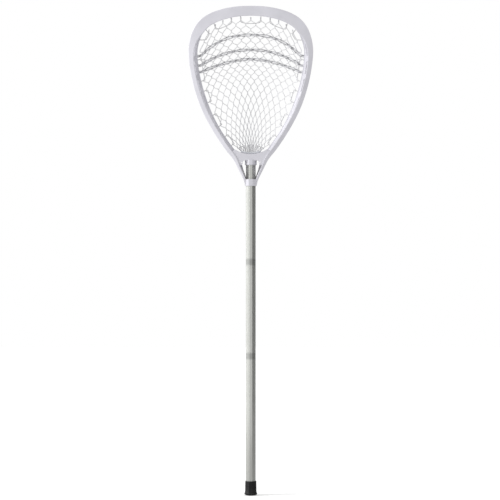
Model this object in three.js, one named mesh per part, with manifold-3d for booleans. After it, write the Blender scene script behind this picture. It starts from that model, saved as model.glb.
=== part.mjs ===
// Lacrosse goalie stick, in millimetres. The stick stands along +Z with its butt end at the
// origin and the open face of the head towards -Y. One moulded frame carries a laced net pocket
// and grips a hollow eight-sided shaft, which a rubber cap closes at the butt.
import * as THREE from "three";
import { mergeVertices } from "three/addons/utils/BufferGeometryUtils.js";
import Module from "manifold-3d";

const wasm = await Module();
wasm.setup();

// Overall sizes
const stickLength = 1280;
const headLength = 470;
const headWidth = 326;
const gap = 0.35; // between pieces that touch on the real stick
const overrun = 3; // how far a cutter runs past what it cuts

// Shaft
const shaftWidth = 25.4;
const shaftDepth = 28.6;
const shaftFrontFlat = 8.2;
const shaftSideFlat = 9.4;
const shaftDish = 0.5; // hollow of each slanting face
const shaftWall = 1.5;
const shaftButtStandoff = 8; // thickness of rubber under the shaft
const shaftHeadEngagement = 66; // from the bottom of the collar to the top of the shaft

// Butt cap
const capHeight = 37.5;
const capWall = 1.7;
const capFlangeWidth = 33.5;
const capFlangeHeight = 7;
const capFlangeEdge = 2.4;
const capDome = 3.4;
const capFlatRadius = 6;
const capTopRound = 1;

// Head frame: section
const frontRailHeight = 7;
const rearRailHeight = 9;
const rearRailWidth = 9;
const webThickness = 3.4;
const outerRound = 3.2;
const edgeChamfer = 1.5;
const wallBand = 22.5; // from the outer edge to the inside of the rear rail, seen from the front
const wallLip = 12.6;
const scoopBand = 23;
const scoopBlade = 26;
const scoopBladeThickness = 4.2;
const scoopRibHeight = 8;

// Head frame: depth in front of and behind the shaft's middle
const scoopForward = 24;
const scoopRear = -8;
const faceForward = 15;
const wallRearAtWidest = 22;
const wallRearAtMiddle = 28;
const wallRearAtThroat = 25;

// Windows in the side walls
const windowCount = 6;
const windowHeight = 13;
const windowMargin = 2;
const windowCorner = 4;
const windowBar = 13;
const windowsFromShare = 0.335; // of the way from the middle of the scoop to the collar
const windowsToShare = 0.79;

// Throat: collar, spine, socket and shelf
const collarHeight = 17.5;
const collarWall = 2.2;
const collarFlare = 2.6;
const socketHeight = 11.5;
const socketWall = 2.3;
const spineWidth = 13;
const spineThickness = 5.5;
const spineSlope = 4;
const shelfRise = 17; // from the top of the socket to the lowest place of the ball stop
const shelfPlate = 4.5;
const shelfHalfWidth = 42;
const shelfFront = 15;
const apronThickness = 3.6;
const gussetOutside = 29;
const gussetFoot = 22.5;
const gussetInside = 19.5;
const gussetDrop = 12;
const throatEyeHalfSpan = 23.5;
const throatEyeRadius = 1.6;
const throatEyeDrop = 4.6;
const ballRadius = 75; // of the hollow that stops the ball

// Ball stop pad
const padThickness = 5;
const padHalfWidth = 27;
const padFrontInset = 3;
const padRear = 15.5;

// Throat screw
const screwHeadRadius = 4;
const screwHeadHeight = 2.6;
const screwRadius = 1.75;
const screwLength = 15;
const screwDriveRadius = 1.5;
const screwDriveDepth = 1.2;

// Net pocket
const netColumns = 12;
const netRows = 24;
const netTopGap = 11.5; // between the scoop's rear rail and the middle of the first row
const netBottomGap = 5.4; // between the ball stop, beside the walls, and the last row
const netEdgeGap = 7; // between the wall and the joins at the net's edge
const netCord = 2;
const netJoin = 3;
const netJoinLengthShare = 0.36; // of the height between two rows
const netJoinMostShare = 0.4; // of the distance between two joins
const netThickness = 2.2;
const pocketDepth = 46;

// Strings
const laceRadius = 1.1;
const laceSides = 5;
const laceHoleRadius = 2.1;
const laceHoleSides = 8;
const laceHoleFromRear = 4.5;
const laceKnot = 2.5;
const laceSlack = 0.9; // extra room behind the net, whose strands slant
const laceReach = netJoin / 2 + gap + laceRadius + laceSlack / 2; // from the middle of a join
const shelfHoleFromNet = 0.6;
const shooterRadius = 1.7;
const shooterSides = 6;
const shooterKnot = 2.2;
const shooterSpread = 0.1; // between the two runs of a shooting cord
const shooterRows = [3, 6, 8];

const up = new THREE.Vector3(0, 0, 1);
const back = new THREE.Vector3(0, 1, 0);
const collarBottom = stickLength - headLength;
const shaftTop = collarBottom + shaftHeadEngagement;
const socketTop = shaftTop + gap;
const shelfTop = socketTop + shelfRise;
const weld = 1e-4;

// Facets and samples
const arcSegments = 10;
const screwSides = 12;
const screwHoleSides = 10;
const outlineDivisions = 600;
const edgeSteps = 500;
const halvings = 24;
const knotShares = [
  [0.5, 1],
  [1.5, 1],
  [2, 0.5],
]; // of a knot's size: how far out each of its rings is, and how wide

// Solids and geometry

function solidOf(geometry) {
  const bare = new THREE.BufferGeometry();
  bare.setAttribute("position", geometry.getAttribute("position"));
  if (geometry.index) bare.setIndex(geometry.index);
  const merged = mergeVertices(bare, weld);
  return new wasm.Manifold(
    new wasm.Mesh({
      numProp: 3,
      vertProperties: new Float32Array(merged.attributes.position.array),
      triVerts: new Uint32Array(merged.index.array),
    }),
  );
}

function geometryOf(solid) {
  const mesh = solid.getMesh();
  const geometry = new THREE.BufferGeometry();
  geometry.setAttribute("position", new THREE.BufferAttribute(mesh.vertProperties, 3));
  geometry.setIndex(new THREE.BufferAttribute(mesh.triVerts, 1));
  geometry.computeVertexNormals();
  return geometry;
}

// A closed skin over rings of points, each ring with as many points as the next. The ends are
// closed with flat caps. A skin that comes out inside out is turned.
function loft(rings) {
  const count = rings[0].length;
  const points = rings.flat();
  const faces = [];
  for (let i = 0; i + 1 < rings.length; i++)
    for (let j = 0; j < count; j++) {
      const k = (j + 1) % count;
      const [a, b, c, d] = [i * count + j, i * count + k, (i + 1) * count + k, (i + 1) * count + j];
      faces.push([a, b, c], [a, c, d]);
    }
  for (const [ring, first, turned] of [
    [rings[0], 0, true],
    [rings.at(-1), (rings.length - 1) * count, false],
  ]) {
    const [flat, clockwise] = flatten(ring);
    for (const [a, b, c] of THREE.ShapeUtils.triangulateShape(flat, [])) {
      const face = [first + a, first + b, first + c];
      faces.push(turned !== clockwise ? face.toReversed() : face);
    }
  }
  return skin(points, faces);
}

// The points of a ring in its own plane, for cutting its cap into triangles.
function flatten(ring) {
  const normal = new THREE.Vector3();
  ring.forEach((p, i) => normal.add(new THREE.Vector3().crossVectors(p, ring[(i + 1) % ring.length])));
  normal.normalize();
  const across = new THREE.Vector3().subVectors(ring[1], ring[0]).normalize();
  const along = new THREE.Vector3().crossVectors(normal, across);
  const flat = ring.map((p) => new THREE.Vector2(p.dot(across), p.dot(along)));
  return [flat, THREE.ShapeUtils.isClockWise(flat)];
}

function skin(points, faces) {
  let volume = 0;
  const cross = new THREE.Vector3();
  for (const [a, b, c] of faces) volume += cross.crossVectors(points[a], points[b]).dot(points[c]);
  const index = (volume < 0 ? faces.map((f) => f.toReversed()) : faces).flat();
  const geometry = new THREE.BufferGeometry().setFromPoints(points);
  geometry.setIndex(index);
  return geometry;
}

// A cord of the given radius along a line of points, with mitred corners, so that it keeps its
// thickness where it turns. A knot is a swelling at an end.
function cord(points, radius, sides, knots = [0, 0]) {
  const line = points.filter((p, i) => i === 0 || p.distanceTo(points[i - 1]) > radius / 4);
  const heading = line.slice(1).map((p, i) => new THREE.Vector3().subVectors(p, line[i]).normalize());
  const side = new THREE.Vector3().crossVectors(heading[0], up);
  if (side.length() < 0.1) side.crossVectors(heading[0], back);
  side.normalize();
  const other = new THREE.Vector3().crossVectors(heading[0], side);
  let spokes = Array.from({ length: sides }, (_, k) => {
    const angle = ((k + 0.5) * 2 * Math.PI) / sides;
    const spoke = side.clone().multiplyScalar(radius * Math.cos(angle));
    return spoke.addScaledVector(other, radius * Math.sin(angle));
  });
  const rings = [spokes.map((s) => line[0].clone().add(s))];
  for (let i = 1; i < line.length; i++) {
    const before = heading[i - 1];
    const after = heading[Math.min(i, heading.length - 1)];
    const plane = new THREE.Vector3().addVectors(before, after).normalize();
    const mitred = spokes.map((s) => s.clone().addScaledVector(before, -s.dot(plane) / before.dot(plane)));
    rings.push(mitred.map((s) => line[i].clone().add(s)));
    spokes = mitred.map((s) => s.clone().addScaledVector(after, -s.dot(after)).setLength(radius));
  }
  const knotted = (end, inward, ring, size) =>
    knotShares.map(([out, full]) => {
      const centre = end.clone().addScaledVector(inward, -size * out);
      const swell = (p) => p.clone().sub(end).multiplyScalar((size * full) / radius).add(centre);
      return ring.map(swell);
    });
  if (knots[0]) rings.unshift(...knotted(line[0], heading[0], rings[0], knots[0]).toReversed());
  if (knots[1]) rings.push(...knotted(line.at(-1), heading.at(-1).clone().negate(), rings.at(-1), knots[1]));
  return loft(rings);
}

// The value at a key of a table of [key, value] rows, along one smooth curve through them.
function through(table, key) {
  const last = table.length - 1;
  const at = THREE.MathUtils.clamp(key, table[0][0], table[last][0]);
  let i = 0;
  while (i < last - 1 && at > table[i + 1][0]) i++;
  const slope = (k) => {
    const a = table[Math.max(k - 1, 0)];
    const b = table[Math.min(k + 1, last)];
    return (b[1] - a[1]) / (b[0] - a[0]);
  };
  const [[x0, y0], [x1, y1]] = [table[i], table[i + 1]];
  const span = x1 - x0;
  const t = (at - x0) / span;
  return (
    y0 * (2 * t ** 3 - 3 * t ** 2 + 1) +
    slope(i) * span * (t ** 3 - 2 * t ** 2 + t) +
    y1 * (3 * t ** 2 - 2 * t ** 3) +
    slope(i + 1) * span * (t ** 3 - t ** 2)
  );
}

// Shaft section: eight faces, of which the four slanting ones are dished. Grow moves every face
// outwards. Points run once round, seen from above.
function shaftOutline(grow, dish = shaftDish) {
  const [w, d] = [shaftWidth / 2 + grow, shaftDepth / 2 + grow];
  const slant = grow * Math.tan(Math.PI / 8);
  const [f, s] = [shaftFrontFlat / 2 + slant, shaftSideFlat / 2 + slant];
  const points = [];
  for (const [sx, sy] of [[1, -1], [1, 1], [-1, 1], [-1, -1]]) {
    const corners = [new THREE.Vector2(sx * f, sy * d), new THREE.Vector2(sx * w, sy * s)];
    if (sx * sy > 0) corners.reverse();
    const middle = corners[0].clone().lerp(corners[1], 0.5);
    middle.multiplyScalar(1 - dish / middle.length());
    points.push(corners[0], middle, corners[1]);
  }
  return points;
}

function upright(outline, bottom, top) {
  const shape = new THREE.Shape(outline);
  const geometry = new THREE.ExtrudeGeometry(shape, { depth: top - bottom, bevelEnabled: false });
  return geometry.translate(0, 0, bottom);
}

function makeShaft() {
  const shape = new THREE.Shape(shaftOutline(0));
  shape.holes.push(new THREE.Path(shaftOutline(-shaftWall)));
  const length = shaftTop - shaftButtStandoff;
  const tube = new THREE.ExtrudeGeometry(shape, { depth: length, bevelEnabled: false });
  return solidOf(tube.translate(0, 0, shaftButtStandoff)).subtract(screwHole(gap));
}

// Butt cap: eight-sided where it grips the shaft, round at the flange, with a domed end.
function capRing(z, width, roundness) {
  const grip = shaftOutline(capWall + gap, 0).map((p) => p.clone());
  const depth = width + shaftDepth - shaftWidth;
  return grip.map((p) => {
    const angle = Math.atan2(p.y, p.x);
    const round = new THREE.Vector2((width / 2) * Math.cos(angle), (depth / 2) * Math.sin(angle));
    const own = p.clone().multiplyScalar(width / (shaftWidth + 2 * (capWall + gap)));
    const mixed = own.lerp(round, roundness);
    return new THREE.Vector3(mixed.x, mixed.y, z);
  });
}

function makeCap() {
  const gripWidth = shaftWidth + 2 * (capWall + gap);
  const body = loft([
    capRing(0, 2 * capFlatRadius, 1),
    capRing(capDome / 3, capFlangeWidth * 0.82, 1),
    capRing(capDome, capFlangeWidth, 1),
    capRing(capDome + capFlangeEdge, capFlangeWidth, 1),
    capRing(capDome + capFlangeHeight, (capFlangeWidth + gripWidth) / 2, 0.6),
    capRing(capHeight - capTopRound, gripWidth, 0),
    capRing(capHeight, gripWidth - capTopRound, 0),
  ]);
  const seat = shaftButtStandoff - gap;
  return solidOf(body).subtract(solidOf(upright(shaftOutline(gap, 0), seat, capHeight + overrun)));
}

// The screw runs from behind, through the spine and the rear wall of the shaft.
const screwSeat = shaftDepth / 2 + gap + spineThickness;
const screwHeight = collarBottom + collarHeight + (shaftHeadEngagement - collarHeight - socketHeight) / 2;

function screwHole(clearance) {
  const [radius, length] = [screwRadius + clearance, screwLength + 2 * overrun];
  const hole = new THREE.CylinderGeometry(radius, radius, length, screwHoleSides);
  return solidOf(hole.translate(0, screwSeat + overrun - screwLength / 2, screwHeight));
}

function makeScrew() {
  const tip = screwSeat + gap - screwLength;
  const seat = screwSeat + gap;
  const profile = [
    [0, tip],
    [screwRadius / 3, tip],
    [screwRadius, tip + screwRadius * 2],
    [screwRadius, seat],
    [screwHeadRadius, seat],
    [screwHeadRadius, seat + screwHeadHeight / 2],
    [screwHeadRadius * 0.7, seat + screwHeadHeight],
    [screwDriveRadius, seat + screwHeadHeight],
    [screwDriveRadius, seat + screwHeadHeight - screwDriveDepth],
    [0, seat + screwHeadHeight - screwDriveDepth],
  ].map(([r, y]) => new THREE.Vector2(r, y));
  return solidOf(new THREE.LatheGeometry(profile, screwSides).translate(0, 0, screwHeight));
}

// Outline of the head, seen from the front, from the middle of the scoop down to the collar:
// shares of half the width, and of the length from the collar.
const outlineShares = [
  [0, 1],
  [0.235, 0.9965],
  [0.465, 0.982],
  [0.65, 0.9595],
  [0.79, 0.929],
  [0.903, 0.882],
  [0.972, 0.822],
  [1, 0.757],
  [0.975, 0.654],
  [0.9, 0.535],
  [0.788, 0.425],
  [0.62, 0.313],
  [0.415, 0.205],
  [0.281, 0.146],
  [0.19, 0.085],
  [0.118, 0.034],
  [0.095, 0.003],
];
const outlinePoints = outlineShares.map(
  ([x, z]) => new THREE.Vector3((x * headWidth) / 2, 0, collarBottom + z * headLength),
);
const mirrored = outlinePoints.slice(1).toReversed().map((p) => new THREE.Vector3(-p.x, 0, p.z));
const outline = new THREE.CatmullRomCurve3([...mirrored, ...outlinePoints], false, "centripetal");
outline.arcLengthDivisions = outlineDivisions;

// Sizes of the frame's section, each at a share of the way from the scoop's middle to the collar.
const collarHalfDepth = shaftDepth / 2 + gap + collarWall;
const legEndDepth = collarHalfDepth * 0.5;
const bandTable = [
  [0, scoopBand],
  [0.2, scoopBand * 1.06],
  [0.28, scoopBand * 1.1],
  [0.4, wallBand],
  [0.6, wallBand * 0.98],
  [0.72, wallBand * 0.88],
  [0.86, wallBand * 0.86],
  [0.905, wallBand * 0.68],
  [0.95, wallBand * 0.46],
  [1, wallBand * 0.33],
];
const lipTable = [
  [0, scoopBlade],
  [0.26, scoopBlade * 1.08],
  [0.33, scoopBlade * 0.72],
  [0.42, wallLip],
  [0.6, wallLip],
  [0.86, wallLip * 0.85],
  [0.92, wallLip * 0.6],
  [1, wallLip * 0.48],
];
const railTable = [
  [0, rearRailWidth],
  [0.86, rearRailWidth],
  [0.95, rearRailWidth * 0.66],
  [1, rearRailWidth * 0.62],
];
const frontTable = [
  [0, scoopForward],
  [0.12, scoopForward * 0.97],
  [0.24, faceForward * 1.3],
  [0.36, faceForward],
  [0.6, faceForward * 0.96],
  [0.85, faceForward * 1.15],
  [0.93, collarHalfDepth],
  [0.97, collarHalfDepth * 0.84],
  [1, legEndDepth],
];
const rearTable = [
  [0, scoopRear],
  [0.12, scoopRear * 0.85],
  [0.24, wallRearAtWidest * 0.2],
  [0.4, wallRearAtWidest],
  [0.65, wallRearAtMiddle],
  [0.86, wallRearAtThroat],
  [0.93, collarHalfDepth],
  [0.97, collarHalfDepth * 0.84],
  [1, legEndDepth],
];
const bladeTable = [
  [0, scoopBladeThickness],
  [0.2, scoopBladeThickness],
  [0.38, frontRailHeight],
  [0.93, frontRailHeight],
  [1, frontRailHeight * 0.6],
];
const rearHeightTable = [
  [0, scoopRibHeight],
  [0.2, scoopRibHeight],
  [0.38, rearRailHeight],
  [0.93, rearRailHeight],
  [1, rearRailHeight * 0.5],
];

// Where a section of the frame stands, the way inwards there, and its sizes.
function station(along) {
  const point = outline.getPointAt(along);
  const heading = outline.getTangentAt(along);
  const inwards = new THREE.Vector3().crossVectors(back, heading).normalize();
  const share = Math.abs(2 * along - 1);
  const lip = through(lipTable, share);
  const rail = through(railTable, share);
  return {
    along,
    share,
    point,
    heading,
    inwards,
    lip,
    rail,
    inset: through(bandTable, share) - rail,
    front: -through(frontTable, share),
    rear: through(rearTable, share),
    blade: through(bladeTable, share),
    rearHeight: through(rearHeightTable, share),
    webTop: lip / 2,
  };
}

function place(s, inward, depth, slide = 0) {
  return s.point.clone().addScaledVector(s.inwards, inward).addScaledVector(s.heading, slide).setY(depth);
}

function frameSection(s) {
  const [c, h] = [edgeChamfer, webThickness / 2];
  const [outer, inner] = [s.inset, s.inset + s.rail];
  const foot = (outer + inner) / 2;
  const [under, above] = [s.front + s.blade, s.rear - s.rearHeight];
  const round = Math.min(outerRound, s.blade - c);
  return [
    [round, s.front],
    [s.lip - c, s.front],
    [s.lip, s.front + c],
    [s.lip, under],
    [s.webTop + h, under + c / 2],
    [foot + h, above - c / 2],
    [inner, above],
    [inner, s.rear - c],
    [inner - c, s.rear],
    [outer + c, s.rear],
    [outer, s.rear - c],
    [outer, above],
    [foot - h, above - c / 2],
    [s.webTop - h, under + c / 2],
    [0, under],
    [0, s.front + round],
  ].map(([inward, depth]) => place(s, inward, depth));
}

const frameStations = 68;

function makeRim() {
  const rings = [];
  for (let i = 0; i <= frameStations; i++) rings.push(frameSection(station(i / frameStations)));
  return solidOf(loft(rings));
}

// A ring round the shaft, wider at its top than at its foot.
function sleeve(bottom, top, wall, flare) {
  const ring = (z, grow) => shaftOutline(grow, 0).map((p) => new THREE.Vector3(p.x, p.y, z));
  return solidOf(loft([ring(bottom, gap + wall), ring(top, gap + wall + flare)]));
}

// Height of the ball stop beside the middle, or of an arc below it by a drop.
function stopHeight(x, drop = 0) {
  return shelfTop + ballRadius - Math.sqrt((ballRadius + drop) ** 2 - x ** 2);
}

// The arc of the ball stop, as seen from the front, raised by a rise.
function shelfArc(rise, halfWidth) {
  const shape = new THREE.Shape();
  const radius = ballRadius - rise;
  const half = Math.asin(halfWidth / radius);
  shape.absarc(0, shelfTop + ballRadius, radius, -Math.PI / 2 - half, -Math.PI / 2 + half, false);
  return shape;
}

// A shape drawn as seen from the front, given a thickness from one depth to another.
function slab(shape, from, to) {
  const options = { depth: to - from, bevelEnabled: false, curveSegments: arcSegments };
  return new THREE.ExtrudeGeometry(shape, options).rotateX(Math.PI / 2).translate(0, to, 0);
}

function band(lower, upper, halfWidth, from, to) {
  const shape = shelfArc(lower, halfWidth);
  for (const p of shelfArc(upper, halfWidth).getPoints(arcSegments).toReversed()) shape.lineTo(p.x, p.y);
  shape.closePath();
  return slab(shape, from, to);
}

function makeShelf() {
  const plate = solidOf(band(-shelfPlate, 0, shelfHalfWidth, -shelfFront, wallRearAtThroat));
  const apron = shelfArc(-shelfPlate / 2, shelfHalfWidth);
  const foot = socketTop - gussetDrop;
  for (const [x, z] of [
    [gussetOutside, foot],
    [gussetFoot, foot],
    [gussetInside, socketTop],
    [-gussetInside, socketTop],
    [-gussetFoot, foot],
    [-gussetOutside, foot],
  ])
    apron.lineTo(x, z);
  apron.closePath();
  let shelf = plate.add(solidOf(slab(apron, -shelfFront, apronThickness - shelfFront)));
  for (const side of [-1, 1]) {
    const radius = throatEyeRadius;
    const eye = new THREE.CylinderGeometry(radius, radius, 2 * shelfFront, laceHoleSides);
    eye.translate(side * throatEyeHalfSpan, -shelfFront, socketTop - throatEyeDrop);
    shelf = shelf.subtract(solidOf(eye));
  }
  return shelf;
}

function makePad() {
  return solidOf(band(gap, gap + padThickness, padHalfWidth, padFrontInset - shelfFront, padRear));
}

// The spine joins the collar to the socket behind the shaft, and slopes down to each.
function makeSpine() {
  const face = shaftDepth / 2 + gap;
  const [low, high] = [collarBottom + collarHeight, socketTop - socketHeight];
  const profile = [
    [face - gap, low - spineSlope],
    [face + collarWall, low - spineSlope],
    [face + spineThickness, low + spineSlope],
    [face + spineThickness, high - spineSlope],
    [face + socketWall, high + spineSlope],
    [face - gap, high + spineSlope],
  ];
  const half = spineWidth / 2;
  return solidOf(loft([-half, half].map((x) => profile.map(([y, z]) => new THREE.Vector3(x, y, z)))));
}

// One window: a tapered slot that follows the outline, just behind the front rail.
function windowCutter(from, to) {
  const length = Math.abs(to - from) * outline.getLength();
  const corner = windowCorner / length;
  const rings = [0, corner, 0.5, 1 - corner, 1].map((t) => {
    const s = station(THREE.MathUtils.lerp(from, to, t));
    const cut = t === 0 || t === 1 ? windowCorner : 0;
    const near = s.front + s.blade + windowMargin + cut;
    const far = s.front + s.blade + windowMargin + windowHeight - cut;
    const reach = s.lip + overrun;
    return [place(s, -overrun, near), place(s, reach, near), place(s, reach, far), place(s, -overrun, far)];
  });
  return solidOf(loft(rings));
}

function windowCutters() {
  const run = (windowsToShare - windowsFromShare) / 2;
  const bar = windowBar / outline.getLength();
  const length = (run - bar * (windowCount - 1)) / windowCount;
  const cutters = [];
  for (let i = 0; i < windowCount; i++) {
    const start = (1 + windowsFromShare) / 2 + i * (length + bar);
    cutters.push(windowCutter(start, start + length), windowCutter(1 - start, 1 - start - length));
  }
  return cutters;
}

// The nearest section of the frame to a place on the net.
const edgeSamples = [];
for (let i = 0; i <= edgeSteps; i++) edgeSamples.push(station((1 + i / edgeSteps) / 2));

function wallAt(point) {
  const flat = new THREE.Vector3(Math.abs(point.x), 0, point.z);
  const distance = (s) => s.point.distanceToSquared(flat);
  const best = edgeSamples.reduce((a, b) => (distance(b) < distance(a) ? b : a));
  return point.x < 0 ? station(1 - best.along) : best;
}

const besideScoopShare = 0.2; // of the way from the scoop's middle to the collar, above every row end

// Half the width inside the frame at a height.
function insideAt(height) {
  const inner = (s) => place(s, s.inset + s.rail, 0);
  let i = Math.round(edgeSteps * besideScoopShare);
  while (i < edgeSamples.length - 2 && inner(edgeSamples[i + 1]).z > height) i++;
  const [a, b] = [inner(edgeSamples[i]), inner(edgeSamples[i + 1])];
  return THREE.MathUtils.mapLinear(height, a.z, b.z, a.x, b.x);
}

// Net: rows of joins, a row's joins standing between those of the next row. Even rows reach the
// edge of the net. Each table below holds a value at a row.
const rowPitchShares = [
  [0, 0.74],
  [6, 0.73],
  [8, 0.66],
  [10, 0.61],
  [12, 0.69],
  [14, 0.9],
  [16, 1.05],
  [20, 1],
  [24, 0.93],
];
const rowDroopShares = [
  [0, 0.1064],
  [3, 0.1191],
  [6, 0.0872],
  [8, 0.0723],
  [15, 0.0915],
  [19, 0.0638],
  [22, 0.0319],
  [24, 0.0128],
]; // of the head's length
const rowCurveShares = [
  [0, 3.4],
  [3, 2.4],
  [6, 2.1],
  [8, 1.75],
  [24, 1.8],
];
const columnSpreadShares = [
  [0, 0.25],
  [4, 0.12],
  [8, 0.03],
  [14, 0],
  [20, -0.12],
  [24, -0.2],
];
const pocketShares = [
  [0, 0],
  [3, 0.07],
  [8, 0.3],
  [12, 0.66],
  [16, 0.97],
  [18, 1],
  [21, 0.72],
  [23, 0.26],
  [24, 0.1],
];

const rowHeights = [0];
for (let row = 0; row < netRows; row++) {
  const pitch = through(rowPitchShares, row + 0.5);
  rowHeights.push(rowHeights[row] + pitch);
}
const firstRow = stickLength - scoopBand - netTopGap;
const netHeight = firstRow - netBottomGap - stopHeight(insideAt(shelfTop) - netEdgeGap);

function rowHeight(row) {
  const i = THREE.MathUtils.clamp(Math.floor(row), 0, netRows - 1);
  const passed = THREE.MathUtils.lerp(rowHeights[i], rowHeights[i + 1], row - i);
  return firstRow - (netHeight * passed) / rowHeights[netRows];
}

// How far a row's places hang below its middle.
function droop(row, across) {
  const end = headLength * through(rowDroopShares, row);
  return end * Math.abs(across) ** through(rowCurveShares, row);
}

const laceRoom = netThickness / 2 + gap + laceRadius; // from the net's middle to a lace's

function edgeDepth(point) {
  return wallAt(point).rear - laceHoleFromRear + laceRoom;
}

// Where a row meets the edge of the net, and how deep the frame is beside the first row.
const rowEnds = [];
for (let row = 0; row <= netRows; row++) {
  const z = rowHeight(row) - droop(row, 1);
  const x = insideAt(z) - netEdgeGap;
  rowEnds.push([row, x, edgeDepth(new THREE.Vector3(x, 0, z))]);
}
const rowEndWidths = rowEnds.map(([row, x]) => [row, x]);
const rowEndDepths = rowEnds.map(([row, , y]) => [row, y]);
const topDepths = [];
for (let i = 0; i <= netColumns / 2; i++) {
  const column = netColumns / 2 + i;
  topDepths.push([acrossAt(0, column), edgeDepth(flatPoint(0, column))]);
}
const topBlendRows = 6;

function acrossAt(row, column) {
  const even = (2 * column) / netColumns - 1;
  return even + (through(columnSpreadShares, row) * Math.sin(Math.PI * even)) / Math.PI;
}

function flatPoint(row, column) {
  const across = acrossAt(row, column);
  const z = rowHeight(row) - droop(row, across);
  return new THREE.Vector3(across * through(rowEndWidths, row), 0, z);
}

// Depth of the net at a row, and at a share of the way from its middle to its end.
function pocketAt(row, across) {
  const nearTop = Math.max(0, 1 - Math.max(0, row) / topBlendRows) ** 2;
  const top = through(topDepths, Math.abs(across)) - rowEndDepths[0][1];
  const bag = pocketDepth * through(pocketShares, row) * Math.max(0, 1 - across ** 2);
  return through(rowEndDepths, row) + nearTop * top + bag;
}

// A place on the net, by row and column, which may be parts of one.
function netPoint(row, column) {
  return flatPoint(row, column).setY(pocketAt(row, acrossAt(row, column)));
}

// The net's depth at a place seen from the front, whose row is found by halving.
function netDepth(x, z) {
  let [low, high] = [-1, netRows + 1];
  const across = (row) => x / through(rowEndWidths, row);
  for (let i = 0; i < halvings; i++) {
    const row = (low + high) / 2;
    if (rowHeight(row) - droop(row, across(row)) > z) low = row;
    else high = row;
  }
  return pocketAt(low, across(low));
}

function joinEnd(row, column, side) {
  const { x, z } = flatPoint(row - (side * netJoinLengthShare) / 2, column);
  return new THREE.Vector2(x, z);
}

function netCells() {
  const cells = [];
  for (let row = 1; row < netRows; row++) {
    const start = row % 2 ? 0.5 : 0;
    for (let c = start; c + 1 <= netColumns - start; c++)
      cells.push([
        joinEnd(row - 1, c + 0.5, -1),
        joinEnd(row, c, 1),
        joinEnd(row, c, -1),
        joinEnd(row + 1, c + 0.5, 1),
        joinEnd(row, c + 1, -1),
        joinEnd(row, c + 1, 1),
      ]);
  }
  return cells;
}

// A cell's polygon drawn in by half of each cord round it. Its second and fifth sides are joins,
// which are thinner where the net is gathered.
function drawnIn(cell) {
  const turn = Math.sign(THREE.ShapeUtils.area(cell));
  const join = Math.min(netJoin, cell[1].distanceTo(cell[5]) * netJoinMostShare);
  const lines = cell.map((p, i) => {
    const q = cell[(i + 1) % cell.length];
    const side = new THREE.Vector2().subVectors(q, p).normalize();
    const half = (i === 1 || i === 4 ? join : netCord) / 2;
    const from = p.clone().add(new THREE.Vector2(-side.y, side.x).multiplyScalar(half * turn));
    return { from, side };
  });
  return lines.map((b, i) => {
    const a = lines[(i + lines.length - 1) % lines.length];
    const away = new THREE.Vector2().subVectors(b.from, a.from);
    return a.from.clone().addScaledVector(a.side, away.cross(b.side) / a.side.cross(b.side));
  });
}

// The outside of the net: the sides that only one cell has, chained and moved outwards.
function netContour(cells) {
  const key = (p) => p.x.toFixed(3) + "," + p.y.toFixed(3);
  const sides = new Map();
  for (const cell of cells)
    cell.forEach((p, i) => {
      const q = cell[(i + 1) % cell.length];
      const reverse = key(q) + ">" + key(p);
      if (sides.has(reverse)) sides.delete(reverse);
      else sides.set(key(p) + ">" + key(q), [p, q]);
    });
  const next = new Map([...sides.values()].map(([p, q]) => [key(p), q]));
  const start = [...sides.values()][0][0];
  const loop = [start];
  for (let p = next.get(key(start)); key(p) !== key(start); p = next.get(key(p))) loop.push(p);
  const turn = Math.sign(THREE.ShapeUtils.area(loop));
  return loop.map((p, i) => {
    const before = loop[(i + loop.length - 1) % loop.length];
    const after = loop[(i + 1) % loop.length];
    const side = new THREE.Vector2().subVectors(after, before).normalize();
    const shorter = Math.min(p.distanceTo(before), p.distanceTo(after));
    const out = Math.min(netJoin / 2, shorter * netJoinMostShare);
    return p.clone().add(new THREE.Vector2(side.y, -side.x).multiplyScalar(out * turn));
  });
}

// A sheet with a front and a back, and a wall round its contour and round each hole.
function makeNet() {
  const cells = netCells();
  const contour = netContour(cells);
  if (THREE.ShapeUtils.isClockWise(contour)) contour.reverse();
  const holes = cells.map(drawnIn);
  for (const hole of holes) if (!THREE.ShapeUtils.isClockWise(hole)) hole.reverse();
  const flat = [contour, ...holes].flat();
  const points = [-1, 1].flatMap((side) =>
    flat.map((p) => new THREE.Vector3(p.x, netDepth(p.x, p.y) + (side * netThickness) / 2, p.y)),
  );
  const rear = flat.length;
  const faces = [];
  for (const [a, b, c] of THREE.ShapeUtils.triangulateShape(contour, holes))
    faces.push([a, b, c], [rear + a, rear + c, rear + b]);
  let first = 0;
  for (const loop of [contour, ...holes]) {
    loop.forEach((_, i) => {
      const [a, b] = [first + i, first + ((i + 1) % loop.length)];
      faces.push([b, a, rear + a], [b, rear + a, rear + b]);
    });
    first += loop.length;
  }
  return skin(points, faces);
}

// Lacing. A tie takes a string from outside the frame, through a hole, in front of the net's edge
// and through one of its cells to the back.
function laceHole({ s, depth }) {
  const length = s.rail + 2 * overrun;
  const hole = new THREE.CylinderGeometry(laceHoleRadius, laceHoleRadius, length, laceHoleSides);
  hole.applyQuaternion(new THREE.Quaternion().setFromUnitVectors(back, s.inwards));
  const centre = place(s, s.inset + s.rail / 2, depth);
  return solidOf(hole.translate(centre.x, centre.y, centre.z));
}

// The place straight behind a place on the net that is a room away from its face, or straight in
// front where the room is below nought.
function offNet({ x, z }, room) {
  const step = netCord;
  const slope = (dx, dz) => (netDepth(x + dx, z + dz) - netDepth(x - dx, z - dz)) / (2 * step);
  const stretch = Math.hypot(1, slope(step, 0), slope(0, step));
  return new THREE.Vector3(x, netDepth(x, z) + room * stretch, z);
}

// The way a string takes behind the net.
function behind(spot, room = laceRoom + laceSlack) {
  return offNet(spot, room);
}

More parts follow.
